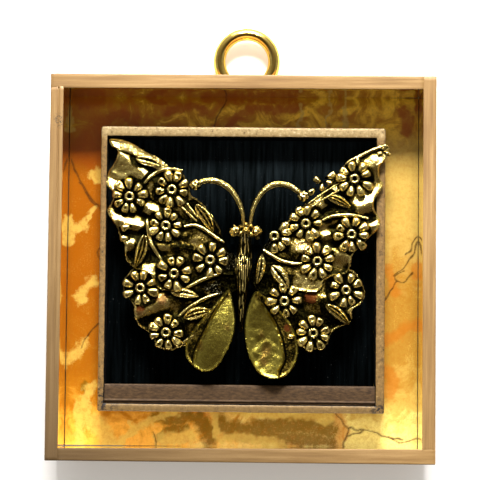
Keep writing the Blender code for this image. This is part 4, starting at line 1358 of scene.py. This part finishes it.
LONG = HALF - RAIL
make_rail("outer_rail_top", -HALF, LONG + 0.1, (0, 1), (1, 0), (3.85, 3.5))
make_rail("outer_rail_right", -LONG - 0.1, HALF, (1, 0), (0, 1))
make_rail("outer_rail_bottom", -LONG - 0.1, HALF, (0, -1), (1, 0), (3.3, 4.0))
make_rail("outer_rail_left", -HALF, LONG + 0.1, (-1, 0), (0, 1), groove=True)

# %% [markdown]
# The paper is marbled in orange, yellow and brown, with thin dark cracks. Noise alone could make some
# marbling, but the broad colours lie where the marbler pulled a comb, so each stroke and crack is a line
# of a few points in millimetres, with half its width, and noise only makes its edge waver.

# %% Cracks and colour strokes
CRACKS = [
    [(-5.3, 49.2), (-5.0, 46.4), (-6.3, 43.1), (-7.6, 40.9), (-8.1, 38.5)],
    [(-38.2, 16.4), (-41.0, 19.1), (-43.2, 22.3), (-45.2, 25.9), (-46.6, 29.7)],
    [(-39.6, 16.9), (-42.1, 19.9), (-44.3, 23.4)],
    [(-37.6, 7.2), (-38.9, 5.2), (-39.1, 3.6), (-37.7, 2.0)],
    [(-37.5, -13.1), (-39.1, -15.0), (-40.4, -16.9), (-42.0, -18.6), (-43.9, -21.0)],
    [(25.5, -38.0), (27.1, -40.1), (28.5, -42.2), (28.0, -44.4), (27.7, -47.6)],
    [(28.5, -42.2), (31.4, -42.2), (33.9, -42.7), (38.7, -44.0), (43.5, -45.0)],
    [(28.2, -44.1), (29.8, -43.6), (32.5, -42.7)], [(-23.9, -43.6), (-23.0, -45.8), (-23.0, -48.2)],
    [(48.7, 7.2), (47.3, 9.6), (44.4, 4.7)],
    [(48.7, 5.3), (47.3, 8.0), (45.2, 3.9), (43.0, 1.2), (40.6, -1.0)],
    [(45.7, 0.1), (44.1, -2.3), (42.0, -2.6), (41.2, -1.0), (43.6, 0.4)],
    [(42.0, -2.6), (40.1, -4.8), (38.2, -7.3)], [(48.3, -44.2), (45.4, -45.3), (42.7, -45.6), (39.0, -44.0)],
]
# For each colour: lines with half their width
STROKES = {
    "yellow": [
        ([(-40.1, 16.9), (-41.5, 15.5), (-42.0, 13.6), (-43.6, 11.7)], 0.7),
        ([(-43.6, 11.7), (-46.8, 10.6)], 1.6),
        ([(-46.9, 12.8), (-47.4, 10.6), (-46.8, 7.9)], 1.6),
        ([(-40.4, -2.9), (-42.2, -5.1), (-43.8, -7.8)], 1.8),
        ([(-42.5, -19.9), (-44.1, -21.8), (-46.3, -24.0), (-47.3, -25.6)], 1.7),
        ([(-41.1, 25.3), (-39.5, 26.5), (-40.0, 24.3)], 1.2),
        ([(-40.2, -31.5), (-41.8, -34.2), (-41.7, -37.9), (-40.6, -41.7)], 1.6),
        ([(-43.9, -36.6), (-43.3, -42.0), (-43.7, -47.6)], 1.5),
        ([(-39.2, -40.6), (-36.8, -43.8), (-35.6, -47.5)], 2.6),
        ([(-33.5, -47.7), (-31.4, -45.3), (-28.7, -43.1), (-25.0, -41.0), (-21.2, -39.0),
          (-17.5, -38.2)], 1.3),
        ([(-29.5, -41.5), (-28.2, -43.4)], 0.9), ([(-21.7, -45.7), (-17.4, -45.2), (-13.6, -44.6)], 2.2),
        ([(-7.3, -37.6), (-6.7, -41.6), (-6.9, -44.5)], 1.0),
        ([(-5.0, -45.6), (-0.2, -44.7), (5.7, -46.0), (10.6, -46.5)], 1.7),
        ([(-0.8, -37.5), (7.8, -37.9), (18.5, -38.3), (23.4, -39.4)], 1.8),
        ([(-47.3, 37.9), (-47.9, 43.3)], 1.3),
        ([(14.1, 38.9), (16.0, 42.2), (15.2, 45.5)], 0.5),
        ([(22.3, 39.0), (23.0, 43.4), (22.7, 47.2)], 0.4),
        ([(27.3, 48.9), (27.7, 39.0)], 0.5),
    ],
    "brown": [
        ([(-23.4, -39.3), (-18.5, -40.4), (-13.7, -39.2)], 2.0),
        ([(-11.5, -39.7), (-9.4, -42.4), (-8.2, -45.1)], 2.6),
        ([(-22.2, -45.2), (-19.0, -43.0), (-15.3, -42.5)], 1.2),
        ([(-5.1, -41.3), (-1.3, -43.4), (5.7, -42.2), (14.8, -41.6), (23.9, -42.6)], 3.0),
        ([(-0.2, -44.4), (13.2, -44.8), (24.0, -45.8)], 2.2),
        ([(-41.8, -30.7), (-42.1, -33.1), (-41.2, -35.8)], 1.0),
    ],
    "rust": [
        ([(49.0, -13.3), (44.7, -15.0), (42.0, -16.6), (38.3, -18.8)], 1.8),
        ([(39.3, 1.1), (40.4, -2.6), (41.4, -5.3)], 1.6), ([(47.9, 2.8), (46.8, -0.4)], 1.6),
        ([(26.3, -39.3), (27.2, -42.5), (26.1, -46.3)], 2.0),
        ([(38.3, -26.3), (40.5, -29.0), (39.4, -32.8)], 2.2),
        ([(-12.1, -38.1), (-9.4, -39.2), (-7.2, -38.6)], 1.0),
    ],
    "red": [
        ([(-10.4, 47.5), (-3.9, 47.0), (4.8, 47.6), (12.4, 46.8)], 2.2),
        ([(0.0, 43.2), (-2.2, 41.5), (-4.1, 39.0)], 1.6),
        ([(1.6, 44.3), (9.7, 43.8), (15.2, 44.9)], 1.5),
        ([(-36.7, 41.2), (-33.2, 42.4), (-29.4, 40.7)], 1.8),
        ([(-45.8, 46.6), (-43.0, 45.0), (-39.2, 46.1)], 1.8),
        ([(-39.1, 38.5), (-41.3, 35.2), (-44.5, 32.4), (-40.1, 30.8)], 4.0),
        ([(43.1, 43.5), (44.7, 40.8), (43.9, 38.1)], 1.9), ([(46.6, 47.9), (47.4, 43.6)], 1.2),
        ([(-25.6, 46.8), (-21.3, 45.2)], 1.2), ([(-20.1, 43.0), (-14.7, 44.7), (-10.9, 43.1)], 1.6),
    ],
}


print(len(CRACKS), "cracks and", sum(len(lines) for lines in STROKES.values()), "strokes")

# %% [markdown]
# The paper's ground is orange on the left and ochre on the right, and yellow pepper and clouds lie over it.
# It is darker at the top and brighter towards the bottom, painted light for what the mirrored bottom wall
# throws onto it, and in the top band, where the top rail's shadow falls, it is a lighter ochre, partly its
# own colour and partly painted bounce light. The strokes and cracks come from attributes on the mesh. It is
# glossy, so a thin coat gives it a shine over the colours.

# %% The marbled paper's finish
STROKE_PAINTS = (("red", 0.80, (0.32, 0.060, 0.001)), ("rust", 0.60, (0.46, 0.13, 0.006)),
                 ("brown", 0.92, (0.16, 0.077, 0.003)), ("yellow", 0.75, (0.62, 0.40, 0.070)))


def make_paper_material():
    material, tree, shader = new_material("marbled_paper")
    flat = coords(tree)
    grain = noise_of(tree, flat, 0.9, 6.0, 0.75)
    cloud = noise_of(tree, flat, 0.15, 5.0, 0.62, 1.5)
    fleck = noise_of(tree, flat, 2.6, 3.0, 0.7)
    places = node(tree, "ShaderNodeSeparateXYZ", {0: flat})
    side = maths(tree, "MULTIPLY_ADD", places.outputs["X"], 1 / 96.0, 0.5)
    # Painted light: the ground grows brighter towards the bottom, for the light that the mirrored bottom wall
    # throws onto it.
    low = maths(tree, "MULTIPLY_ADD", places.outputs["Z"], -1 / 96.0, -0.165)
    down = shifted(tree, cloud, 0.35, low)
    left = curve_of(tree, down, (0.55, (0.30, 0.078, 0.0005)), (0.75, (0.32, 0.098, 0.002)),
                    (0.87, (0.39, 0.135, 0.004)), (0.97, (0.80, 0.36, 0.035)))
    right = curve_of(tree, down, (0.38, (0.54, 0.35, 0.075)), (0.54, (0.38, 0.180, 0.018)),
                     (0.76, (0.41, 0.205, 0.024)), (0.88, (0.56, 0.37, 0.075)), (0.95, (0.76, 0.60, 0.17)))
    across = curve_of(tree, shifted(tree, cloud, 0.9, side), (0.30, 0.0), (0.72, 1.0))
    colour = mix(tree, across, left, right)
    pepper = maths(tree, "MULTIPLY", curve_of(tree, fleck, (0.50, 0.0), (0.66, 1.0)),
                   maths(tree, "MULTIPLY", curve_of(tree, cloud, (0.46, 0.10), (0.62, 0.75)),
                         maths(tree, "MULTIPLY_ADD", side, 0.75, 0.25)))
    colour = mix(tree, pepper, colour, (0.62, 0.38, 0.060))
    # In the top band, where the top rail's shadow falls: a lighter ochre, partly the paper's own colour and
    # partly painted bounce light.
    high = maths(tree, "MULTIPLY_ADD", places.outputs["Z"], 1 / 8.0, 32.0 / 8.0, clamp=True)
    top_band_bounce_lit = curve_of(tree, shifted(tree, cloud, 1.0, maths(tree, "MULTIPLY_ADD", side, 0.25, 0.38)),
                     (0.36, (0.42, 0.13, 0.002)), (0.50, (0.47, 0.20, 0.003)), (0.66, (0.96, 0.56, 0.034)))
    colour = mix(tree, maths(tree, "MULTIPLY", high, 0.97), colour, top_band_bounce_lit)
    for name, strength, paint in STROKE_PAINTS:
        stroke = node(tree, "ShaderNodeAttribute", attribute_name=name).outputs["Fac"]
        edge = shifted(tree, fleck, 1.0, shifted(tree, grain, 1.0, stroke))
        colour = mix(tree, curve_of(tree, edge, (0.15, 0.0), (0.95, strength)), colour, paint)
    colour = mix(tree, maths(tree, "MULTIPLY", curve_of(tree, grain, (0.40, 1.0), (0.54, 0.0)), 0.25), colour,
                 (0.34, 0.085, 0.002))
    veins = node(tree, "ShaderNodeAttribute", attribute_name="dark").outputs["Fac"]
    worn = maths(tree, "MULTIPLY", veins, curve_of(tree, grain, (0.36, 1.0), (0.62, 0.65)))
    colour = mix(tree, worn, colour, (0.055, 0.018, 0.003))
    fit(tree, shader, Base_Color=colour, Roughness=0.16, Coat_Weight=0.2, Coat_Roughness=0.05,
        Normal=bump(tree, cloud, 0.25, 0.25))
    return material


PAPER = make_paper_material()
print("marbled paper:", len(PAPER.node_tree.nodes), "nodes")

# %% [markdown]
# The sheet of paper is fine squares where it shows round the inner frame and one large face where it is
# hidden. A plain face with a painted picture would need an image; the fine squares hold how near each
# point is to a crack or a stroke.

# %% Paper
PAPER_HALF, PAPER_STEP, PAPER_DEPTH, PAPER_THICK, HIDDEN_HALF = 47.27, 0.28, 16.9, 0.4, 36.5


def paper_marks(places):
    """How near a crack each place is, and how strongly each colour's strokes cover it."""
    wavering = places + 0.9 * np.stack([rough(*places.T, 2.5, 1.0), rough(*places.T, 2.5, 7.0)], -1)
    near = np.full(len(places), 9.0)
    for crack in CRACKS:
        near = np.minimum(near, distance_to(wavering, smooth_path(crack, 4)))
    wavering = wavering + 0.7 * np.stack([rough(*places.T, 1.1, 21.0), rough(*places.T, 1.1, 27.0)], -1)
    masks = {}
    for colour, strokes in STROKES.items():
        masks[colour] = np.zeros(len(places))
        for line, half_width in strokes:
            gap = distance_to(wavering, smooth_path(line, 4)) / half_width
            masks[colour] = np.maximum(masks[colour], 1 - ramp(gap, 0.35, 1.35))
    return near, masks


def border_loops(faces, is_outer):
    """The two closed borders of a sheet with a hole, the hole's first, as rows of points."""
    loops = []
    edges = open_edges(faces)
    for outer in (False, True):
        following = {a: b for a, b in edges if is_outer(a) == outer}
        loop = [next(iter(following))]
        while following[loop[-1]] != loop[0]:
            loop.append(following[loop[-1]])
        loops.append(loop)
    return loops


def make_paper():
    count = int(round(2 * PAPER_HALF / PAPER_STEP)) + 1
    line = np.linspace(-PAPER_HALF, PAPER_HALF, count)
    x, z = np.meshgrid(line, line)
    flat = np.stack([x.ravel(), z.ravel()], -1)
    shows = (np.abs(flat).max(1) > HIDDEN_HALF).reshape(count, count)
    cells = [(i * count + j, i * count + j + 1, (i + 1) * count + j + 1, (i + 1) * count + j)
             for i in range(count - 1) for j in range(count - 1) if shows[i:i + 2, j:j + 2].any()]
    used = np.unique(np.array(cells))
    index = {int(old): new for new, old in enumerate(used)}
    faces = [[index[i] for i in c] for c in cells]
    flat = flat[used]
    hole, rim = border_loops(faces, lambda i: np.abs(flat[i]).max() > PAPER_HALF - 1e-6)
    back = [len(flat) + k for k in range(len(rim))]
    faces.append(hole[::-1])
    faces += [[b, a, c, d] for a, b, c, d in zip(rim, rim[1:] + rim[:1], back, back[1:] + back[:1])]
    faces.append(back)
    near, masks = paper_marks(flat)
    verts = np.concatenate([box_at(flat[:, 0], flat[:, 1], PAPER_DEPTH),
                            box_at(flat[rim, 0], flat[rim, 1], PAPER_DEPTH + PAPER_THICK)])
    paper = add_piece("paper_sheet", verts, faces, PAPER, np.concatenate([1 - ramp(near, 0.08, 0.36),
                                                                          np.zeros(len(rim))]),
                      stands_for=["marbled_paper"])
    for colour, mask in masks.items():
        layer = paper.data.attributes.new(colour, "FLOAT", "POINT")
        layer.data.foreach_set("value", np.concatenate([mask, np.zeros(len(rim))]).astype(np.float32))


make_paper()

# %% [markdown]
# The backing board is plain brown card, seen only from behind. Its edges are eased a little, because a
# perfectly sharp edge never catches light as a real one does; the same helper makes the inner boards.

# %% Backing board
def eased_block(name, low, high, ease, material, stands_for):
    """A block between two corners in millimetres of the box, with rounded edges."""
    bm = bmesh.new()
    bmesh.ops.create_cube(bm, size=1.0)
    low, high = box_at(*low), box_at(*high)
    for v in bm.verts:
        v.co = Vector(low) + Vector([(c + 0.5) * s for c, s in zip(v.co, high - low)])
    bmesh.ops.bevel(bm, geom=bm.edges[:], offset=ease * MM, segments=3, affect="EDGES", profile=0.5)
    verts = [v.co[:] for v in bm.verts]
    faces = [[v.index for v in f.verts] for f in bm.faces]
    bm.free()
    return add_piece(name, verts, faces, material, stands_for=stands_for, sharp=60)


BROWN_CARD = grained("backing_card", (0.25, 1.0, 1.0), (2.2, 5.0, 0.7),
                     ((0.35, (0.27, 0.19, 0.105)), (0.65, (0.36, 0.26, 0.155))), 0.85, (0.3, 0.08))
eased_block("brown_board", (-47.35, -47.35, 17.5), (47.35, 47.35, 20.0), 0.12, BROWN_CARD, ["backing_board"])

# %% [markdown]
# The inner frame's gilding is lighter on top and browner low down, which is painted light and shade, and it
# is worn, with dark flakes at its lower corners and a black inner wall. One colour with scratches could stand
# for it, but the colour differs from side to side, so heights and places in millimetres steer the noise.

# %% Worn gilding with painted light and shade
def make_shaded_worn_gilt():
    material, tree, shader = new_material("worn_gilt")
    flat = coords(tree)
    grain = noise_of(tree, flat, 1.3, 6.0, 0.75)
    patch = noise_of(tree, flat, 0.22, 3.0)
    colour = curve_of(tree, grain, (0.32, (0.03, 0.016, 0.005)), (0.44, (0.19, 0.105, 0.030)),
                      (0.60, (0.27, 0.155, 0.048)), (0.72, (0.50, 0.36, 0.17)))
    places = node(tree, "ShaderNodeSeparateXYZ", {0: flat})
    # Painted light: the top rail is lighter, as the light from above falls on it.
    high = maths(tree, "MULTIPLY_ADD", places.outputs["Z"], 1 / 2.0, 29.5 / 2.0, clamp=True)
    bright = curve_of(tree, grain, (0.32, (0.08, 0.045, 0.016)), (0.42, (0.38, 0.255, 0.105)),
                      (0.60, (0.53, 0.38, 0.175)), (0.70, (0.80, 0.70, 0.46)))
    colour = mix(tree, high, colour, bright)
    # Painted shade: browner low down.
    low = maths(tree, "MULTIPLY_ADD", places.outputs["Z"], -1 / 8.0, -94.0 / 8.0, clamp=True)
    colour = mix(tree, maths(tree, "MULTIPLY", low, 0.6), colour, (0.13, 0.082, 0.028))
    colour = mix(tree, curve_of(tree, patch, (0.60, 0.0), (0.74, 0.40)), colour, (0.20, 0.12, 0.05))
    worn = maths(tree, "ADD", near_place(tree, flat, (-38.0, -14.9, -99.5), 1.5, 6.5),
                 near_place(tree, flat, (36.5, -14.9, -101.5), 1.0, 5.0), clamp=True)
    chips = noise_of(tree, flat, 0.8, 4.0, 0.7)
    flakes = maths(tree, "MULTIPLY", worn, curve_of(tree, chips, (0.50, 0.0), (0.53, 1.0)))
    colour = mix(tree, flakes, colour, (0.015, 0.010, 0.008))
    edges = node(tree, "ShaderNodeAttribute", attribute_name="dark").outputs["Fac"]
    edges = shifted(tree, chips, 1.4, edges)
    colour = mix(tree, curve_of(tree, edges, (0.40, 0.0), (0.60, 1.0)), colour, (0.004, 0.003, 0.003))
    fit(tree, shader, Base_Color=colour, Metallic=0.25, Normal=bump(tree, grain, 0.6, 0.18),
        Roughness=curve_of(tree, grain, (0.3, 0.55), (0.7, 0.36)))
    return material


SHADED_WORN_GILT = make_shaded_worn_gilt()
print("worn gilding:", len(SHADED_WORN_GILT.node_tree.nodes), "nodes")

# %% [markdown]
# The inner frame is one thin square ring with slightly rough, rounded edges. Four strips would need their
# joints hidden; a section carried once round a rounded square has none. Its opening sits a little to the
# left, and its top strip is wider, as the photo shows.

# %% Inner frame
RING_HALF, OPENING_SHIFT, TOP_EXTRA = 37.95, 0.35, 0.65
PER_SIDE, PER_CORNER = 90, 8


def rounded_square(size, radius):
    flat = size - radius
    corners = ((1, 1), (-1, 1), (-1, -1), (1, -1))
    points = []
    for quarter, corner in enumerate(corners):
        for k in range(PER_CORNER):
            t = math.pi / 2 * (quarter + k / (PER_CORNER - 1))
            points.append(np.array(corner) * flat + radius * np.array((math.cos(t), math.sin(t))))
        step = (np.array(corners[(quarter + 1) % 4]) - corner) * flat / (PER_SIDE + 1)
        points += [points[-1] + step * (k + 1) for k in range(PER_SIDE)]
    return points


def make_inner_frame():
    steps = [(0.0, 16.6), (0.0, 12.0), (0.0, 8.9), (0.06, 8.62), (0.22, 8.5), (0.8, 8.5), (1.15, 8.5),
             (1.75, 8.5), (1.92, 8.6), (2.0, 8.85), (2.0, 12.0), (2.0, 16.6)]
    verts, dark = [], []
    for inset, depth in steps:
        edge = 0.35 * (inset < 0.1 and depth < 9)
        if inset > 1.8:
            edge = 1.2 if inset > 1.95 and depth > 8.7 else 0.55
        for x, z in rounded_square(RING_HALF - inset, max(0.55 - inset * 0.2, 0.2)):
            dark.append(edge)
            if inset > 1.7:
                x, z = x - OPENING_SHIFT, z - TOP_EXTRA * (z > 0)
            fine, broad = Vector((x / 1.1, z / 1.1, depth)), Vector((x / 4, z / 4, 2.0))
            wear = noise.noise(fine) * 0.05 + noise.noise(broad) * 0.04
            k = 1 + (wear if depth < 12 else 0) / RING_HALF
            verts.append(box_at(x * k, z * k, depth + (abs(wear) * 0.8 if depth < 10 else 0)))
    count = 4 * (PER_SIDE + PER_CORNER)
    add_piece("gilt_ring", verts, rings_to_faces(len(steps), count, closed=True), SHADED_WORN_GILT, dark,
              stands_for=["inner_frame"], sharp=50)


make_inner_frame()

# %% [markdown]
# Inside the inner frame is a black board, a little lighter towards its top as painted light where the frame's
# top rail shades it, and dusty, and the block that carries the brooch in front of it. Plain black would look
# like a hole, so faint streaks are kept.

# %% Black board and mounting block
def make_black_card():
    material, tree, shader = new_material("black_card")
    streaks = noise_of(tree, coords(tree, (1.0, 1.0, 0.06)), 1.1, 4.0, 0.6)
    dust = noise_of(tree, coords(tree), 2.4, 2.0)
    colour = curve_of(tree, streaks, (0.42, (0.0004, 0.0006, 0.0006)), (0.72, (0.0020, 0.0030, 0.0034)))
    # Painted light: the board is lighter towards its top, where the frame's top rail shades it.
    painted_light_top = curve_of(tree, streaks, (0.36, (0.002, 0.003, 0.003)), (0.70, (0.012, 0.017, 0.019)))
    height = node(tree, "ShaderNodeSeparateXYZ", {0: coords(tree)}).outputs["Z"]
    colour = mix(tree, maths(tree, "MULTIPLY_ADD", height, 1 / 22.0, 50.0 / 22.0, clamp=True), colour, painted_light_top)
    colour = mix(tree, curve_of(tree, dust, (0.71, 0.0), (0.76, 0.25)), colour, (0.16, 0.16, 0.15))
    fit(tree, shader, Base_Color=colour, Roughness=0.75, Specular_IOR_Level=0.0)
    return material


# The opening of the inner frame, in which the board and the sill lie
OPENING_LEFT, OPENING_RIGHT, OPENING_FLOOR, OPENING_TOP = -36.2, 35.5, -35.75, 35.2
BLACK = make_black_card()
eased_block("inner_board", (OPENING_LEFT, OPENING_FLOOR, 15.0), (OPENING_RIGHT, OPENING_TOP, 16.6), 0.1,
            BLACK, ["black_board"])
eased_block("mounting_block", (-3.4, -5.4, 7.9), (5.6, 6.6, 14.7), 0.5, BLACK, ["mounting_post"])

# %% [markdown]
# The sill is a bronze strip along the bottom, with a small rounded nosing at its front. It could be a
# block with a round bar on it, but one moulded section is carried along it, as the real strip is one.

# %% Sill
BRONZE = grained("bronze_sill", (0.35, 1.0, 1.0), (2.0, 5.0, 0.7),
                 ((0.34, (0.031, 0.016, 0.007)), (0.66, (0.088, 0.048, 0.019))), ((0.3, 0.70), (0.7, 0.55)),
                 (0.3, 0.08), Metallic=0.2, Specular_IOR_Level=0.25)


def make_sill():
    profile = [(14.7, 0.0), (9.5, 0.0), (9.5, 0.35), (9.3, 0.48), (9.12, 0.58), (9.1, 0.72), (9.15, 0.88),
               (9.32, 1.0), (9.5, 1.12), (9.5, 2.2), (9.5, 3.4), (9.5, 4.6), (9.58, 4.85), (9.75, 4.97),
               (10.0, 5.0), (14.7, 5.0)]
    front = min(depth for depth, _ in profile)
    stops = np.linspace(OPENING_LEFT, OPENING_RIGHT, 90)
    verts = []
    for x in stops:
        for depth, z in profile:
            wear = 0.05 * noise.noise(Vector((x / 2.5, z, 4.0))) if depth < 10 else 0
            verts.append(box_at(x, OPENING_FLOOR + z, max(depth + wear, front)))
    add_piece("sill_strip", verts, rings_to_faces(len(stops), len(profile)), BRONZE, stands_for=["sill"],
              sharp=50)


make_sill()

# %% [markdown]
# The hanger is brass, bright with a few duller patches. The ring swings about its lowest arc, where the
# strap holds it, so it rides on the model's own body for it. Blender has a ready torus, but its seam and
# place would still have to be set, and two short loops do all of that.

# %% Brass and the ring
BRASS = grained("brass", (1, 1, 1), (0.9, 5.0, 0.7), ((0.36, (0.76, 0.50, 0.10)), (0.62, (0.88, 0.64, 0.17))),
                ((0.3, 0.20), (0.7, 0.10)), (0.12, 0.05), Metallic=1.0, Specular_Tint=(0.45, 0.28, 0.06))
HINGE_Z = -13.4
RING_RADIUS, WIRE_RADIUS = 7.5, 1.6


def make_ring():
    around, sides = 96, 28
    verts = []
    for i in range(around):
        t = 2 * math.pi * i / around
        for j in range(sides):
            s = 2 * math.pi * j / sides
            r = RING_RADIUS + WIRE_RADIUS * math.cos(s)
            verts.append((r * math.cos(t) * MM, WIRE_RADIUS * math.sin(s) * MM,
                          (HINGE_Z + RING_RADIUS + r * math.sin(t)) * MM))
    add_piece("brass_ring", verts, rings_to_faces(around, sides, closed=True), BRASS, body="ring",
              stands_for=["hanging_ring"])


make_ring()

# %% [markdown]
# The strap is a thin strip that lies on the back, turns round the ring's lowest arc and comes back. It is
# hidden from the front, so its shape is a guess from hangers of this kind. A bent plane would do, but a
# strip carried along its path keeps the same thickness in the bend.

# %% Strap
STRAP_BEND = 2.6


def make_strap():
    path = [(-2.65, HINGE_Z - 12 + s) for s in np.linspace(0, 11.5, 8)]
    path += [(STRAP_BEND * math.cos(t), HINGE_Z + STRAP_BEND * math.sin(t))
             for t in np.linspace(math.pi, -0.86 * math.pi, 44)]
    path = np.array(path)
    way = np.gradient(path, axis=0)
    way /= np.linalg.norm(way, axis=1)[:, None]
    out = np.stack([-way[:, 1], way[:, 0]], -1)
    section = [(-2.0, 0.25), (-1.85, 0.38), (-1.7, 0.4), (1.7, 0.4), (1.85, 0.38), (2.0, 0.25), (2.0, -0.25),
               (1.85, -0.38), (1.7, -0.4), (-1.7, -0.4), (-1.85, -0.38), (-2.0, -0.25)]
    verts = []
    for k, (p, n) in enumerate(zip(path, out)):
        rounded = math.sqrt(max(1 - max(1 - k / 2.5, 0) ** 2, 0)) * 0.45 + 0.55 if k < 3 else 1.0
        for x, t in section:
            verts.append((x * rounded * MM, (p[0] + n[0] * t) * MM, (p[1] + n[1] * t) * MM))
    add_piece("hanger_strap", verts, rings_to_faces(len(path), len(section)), BRASS,
              stands_for=["ring_strap"], sharp=50)


make_strap()

# %% [markdown]
# One round-headed screw holds the strap. Its slot could be pressed into the finish, but it is really cut,
# by a boolean with a thin block, so it still shows from the side.

# %% Screw
SCREW_RADIUS, SCREW_RISE, SLOT_WIDTH = 1.5, 0.82, 0.42


def make_screw():
    around, rise = 40, 8
    verts, base, middle = [], -2.0, HINGE_Z - 9
    for i in range(rise + 1):
        t = math.pi / 2 * i / rise
        for k in range(around):
            a = 2 * math.pi * k / around
            r = SCREW_RADIUS * max(math.cos(t), 0.02)
            verts.append((r * math.cos(a) * MM, (base + SCREW_RISE * math.sin(t)) * MM,
                          (middle + r * math.sin(a)) * MM))
    head = add_piece("strap_screw_head", verts, rings_to_faces(rise + 1, around), BRASS,
                     stands_for=["strap_screw"])
    bm = bmesh.new()
    bmesh.ops.create_cube(bm, size=1.0)
    for v in bm.verts:
        v.co = Vector((v.co.x * 3.4, base + 0.85 + v.co.y * 0.9, middle + v.co.z * SLOT_WIDTH)) * MM
    cutter_mesh = bpy.data.meshes.new("slot_cut")
    bm.to_mesh(cutter_mesh)
    bm.free()
    cutter = bpy.data.objects.new("slot_cut", cutter_mesh)
    bpy.context.scene.collection.objects.link(cutter)
    cut = head.modifiers.new("slot", "BOOLEAN")
    cut.operation, cut.solver, cut.object = "DIFFERENCE", "EXACT", cutter
    bpy.context.view_layer.update()
    mesh = bpy.data.meshes.new_from_object(head.evaluated_get(bpy.context.evaluated_depsgraph_get()))
    head.modifiers.clear()
    head.data = mesh
    mesh.set_sharp_from_angle(angle=math.radians(35))
    bpy.data.objects.remove(cutter, do_unlink=True)


make_screw()

# %% [markdown]

# %% [markdown]
# The box hangs on a white wall. The wall could be a thick block, but one face that is clear from behind
# lets the back of the box be looked at too.

# %% Wall
WALL_Y = 0.0036


def make_wall():
    material, tree, shader = new_material("white_wall")
    fit(tree, shader, Base_Color=(0.80, 0.78, 0.76), Roughness=0.9, Emission_Color=(1.0, 0.92, 0.80),
        Emission_Strength=0.22)
    clear = tree.nodes.new("ShaderNodeBsdfTransparent")
    behind = tree.nodes.new("ShaderNodeNewGeometry").outputs["Backfacing"]
    share = tree.nodes.new("ShaderNodeMixShader")
    tree.links.new(behind, share.inputs[0])
    tree.links.new(shader.outputs[0], share.inputs[1])
    tree.links.new(clear.outputs[0], share.inputs[2])
    tree.links.new(share.outputs[0], tree.nodes["Material Output"].inputs["Surface"])
    mesh = bpy.data.meshes.new("wall")
    corners = ((-0.8, -0.9), (0.8, -0.9), (0.8, 0.8), (-0.8, 0.8))
    mesh.from_pydata([(x, WALL_Y, z) for x, z in corners], [], [(0, 1, 2, 3)])
    mesh.materials.append(material)
    wall = bpy.data.objects.new("wall", mesh)
    bpy.context.scene.collection.objects.link(wall)


make_wall()
print("the wall is", WALL_Y / MM, "mm behind the model's origin")

# %% [markdown]
# One large soft light hangs in front of the box and above it, a wider one nearly overhead, and a weak one
# fills in from the front. Below the viewer the room is dark and warm, which gives the metal its dark
# reflections. A studio picture could light it too, but a few stops of colour are enough.

# %% Light
def make_light(name, place, target, size, power, in_reflections=True):
    data = bpy.data.lights.new(name, "AREA")
    data.shape = "RECTANGLE"
    data.size, data.size_y = size
    data.energy = power
    lamp = bpy.data.objects.new(name, data)
    lamp.location = place
    lamp.rotation_euler = (Vector(target) - Vector(place)).to_track_quat("-Z", "Y").to_euler()
    lamp.visible_glossy = in_reflections
    bpy.context.scene.collection.objects.link(lamp)


def make_surroundings():
    world = bpy.data.worlds.new("room")
    world.use_nodes = True
    tree = world.node_tree
    where = tree.nodes.new("ShaderNodeTexCoord")
    parts = node(tree, "ShaderNodeSeparateXYZ", {0: where.outputs["Generated"]})
    up = maths(tree, "MULTIPLY_ADD", parts.outputs["Z"], 0.5, 0.5)
    shade = curve_of(tree, up, (0.0, (0.04, 0.026, 0.010)), (0.26, (0.12, 0.066, 0.020)),
                     (0.46, (0.09, 0.064, 0.030)), (0.60, (0.30, 0.25, 0.17)),
                     (0.78, (0.85, 0.84, 0.81)), (1.0, (1.0, 1.0, 1.0)))
    aside = curve_of(tree, maths(tree, "ABSOLUTE", parts.outputs["X"]), (0.50, 0.0), (0.74, 0.70))
    seen = tree.nodes.new("ShaderNodeLightPath").outputs["Is Camera Ray"]
    tree.links.new(mix(tree, seen, mix(tree, 1.0, shade, aside, "LIGHTEN"), (1.45, 1.45, 1.45)),
                   tree.nodes["Background"].inputs["Color"])
    tree.nodes["Background"].inputs["Strength"].default_value = 0.55
    bpy.context.scene.world = world


TARGET = (0.0, -0.02, -0.064)
make_light("key", (0.02, -0.50, 0.50), TARGET, (0.22, 0.16), 13.5)
make_light("overhead", (0.0, -0.22, 0.62), TARGET, (0.60, 0.30), 4.0)
make_light("fill", (0.0, -0.80, -0.20), TARGET, (0.80, 0.60), 1.6, in_reflections=False)
make_surroundings()
print("lights:", [lamp.name for lamp in bpy.data.lights])

# %% [markdown]
# The camera looks at the box from the front and slightly below the ring's height, through a long lens.
# It could be placed by eye, but its place, turn and lens were worked out from where the frame's corners
# lie in the photo.

# %% Camera
LENS = 145.753
CAMERA_PLACE, CAMERA_TURN = (0.007542, -0.530651, -0.091663), (93.93769, -0.60290, 0.91961)


def make_camera():
    data = bpy.data.cameras.new("camera")
    data.sensor_width = 36.0
    data.lens = LENS
    data.clip_start, data.clip_end = 0.01, 10
    camera = bpy.data.objects.new("camera", data)
    camera.location = CAMERA_PLACE
    camera.rotation_euler = [math.radians(a) for a in CAMERA_TURN]
    bpy.context.scene.collection.objects.link(camera)
    bpy.context.scene.camera = camera
    bpy.context.scene.view_settings.view_transform = "Standard"


make_camera()
print("camera", round(-CAMERA_PLACE[1] / MM), "mm in front, lens", LENS, "mm")

# %% [markdown]
# At the end the scene is brought up to date.

# %% Finish
bpy.context.view_layer.update()
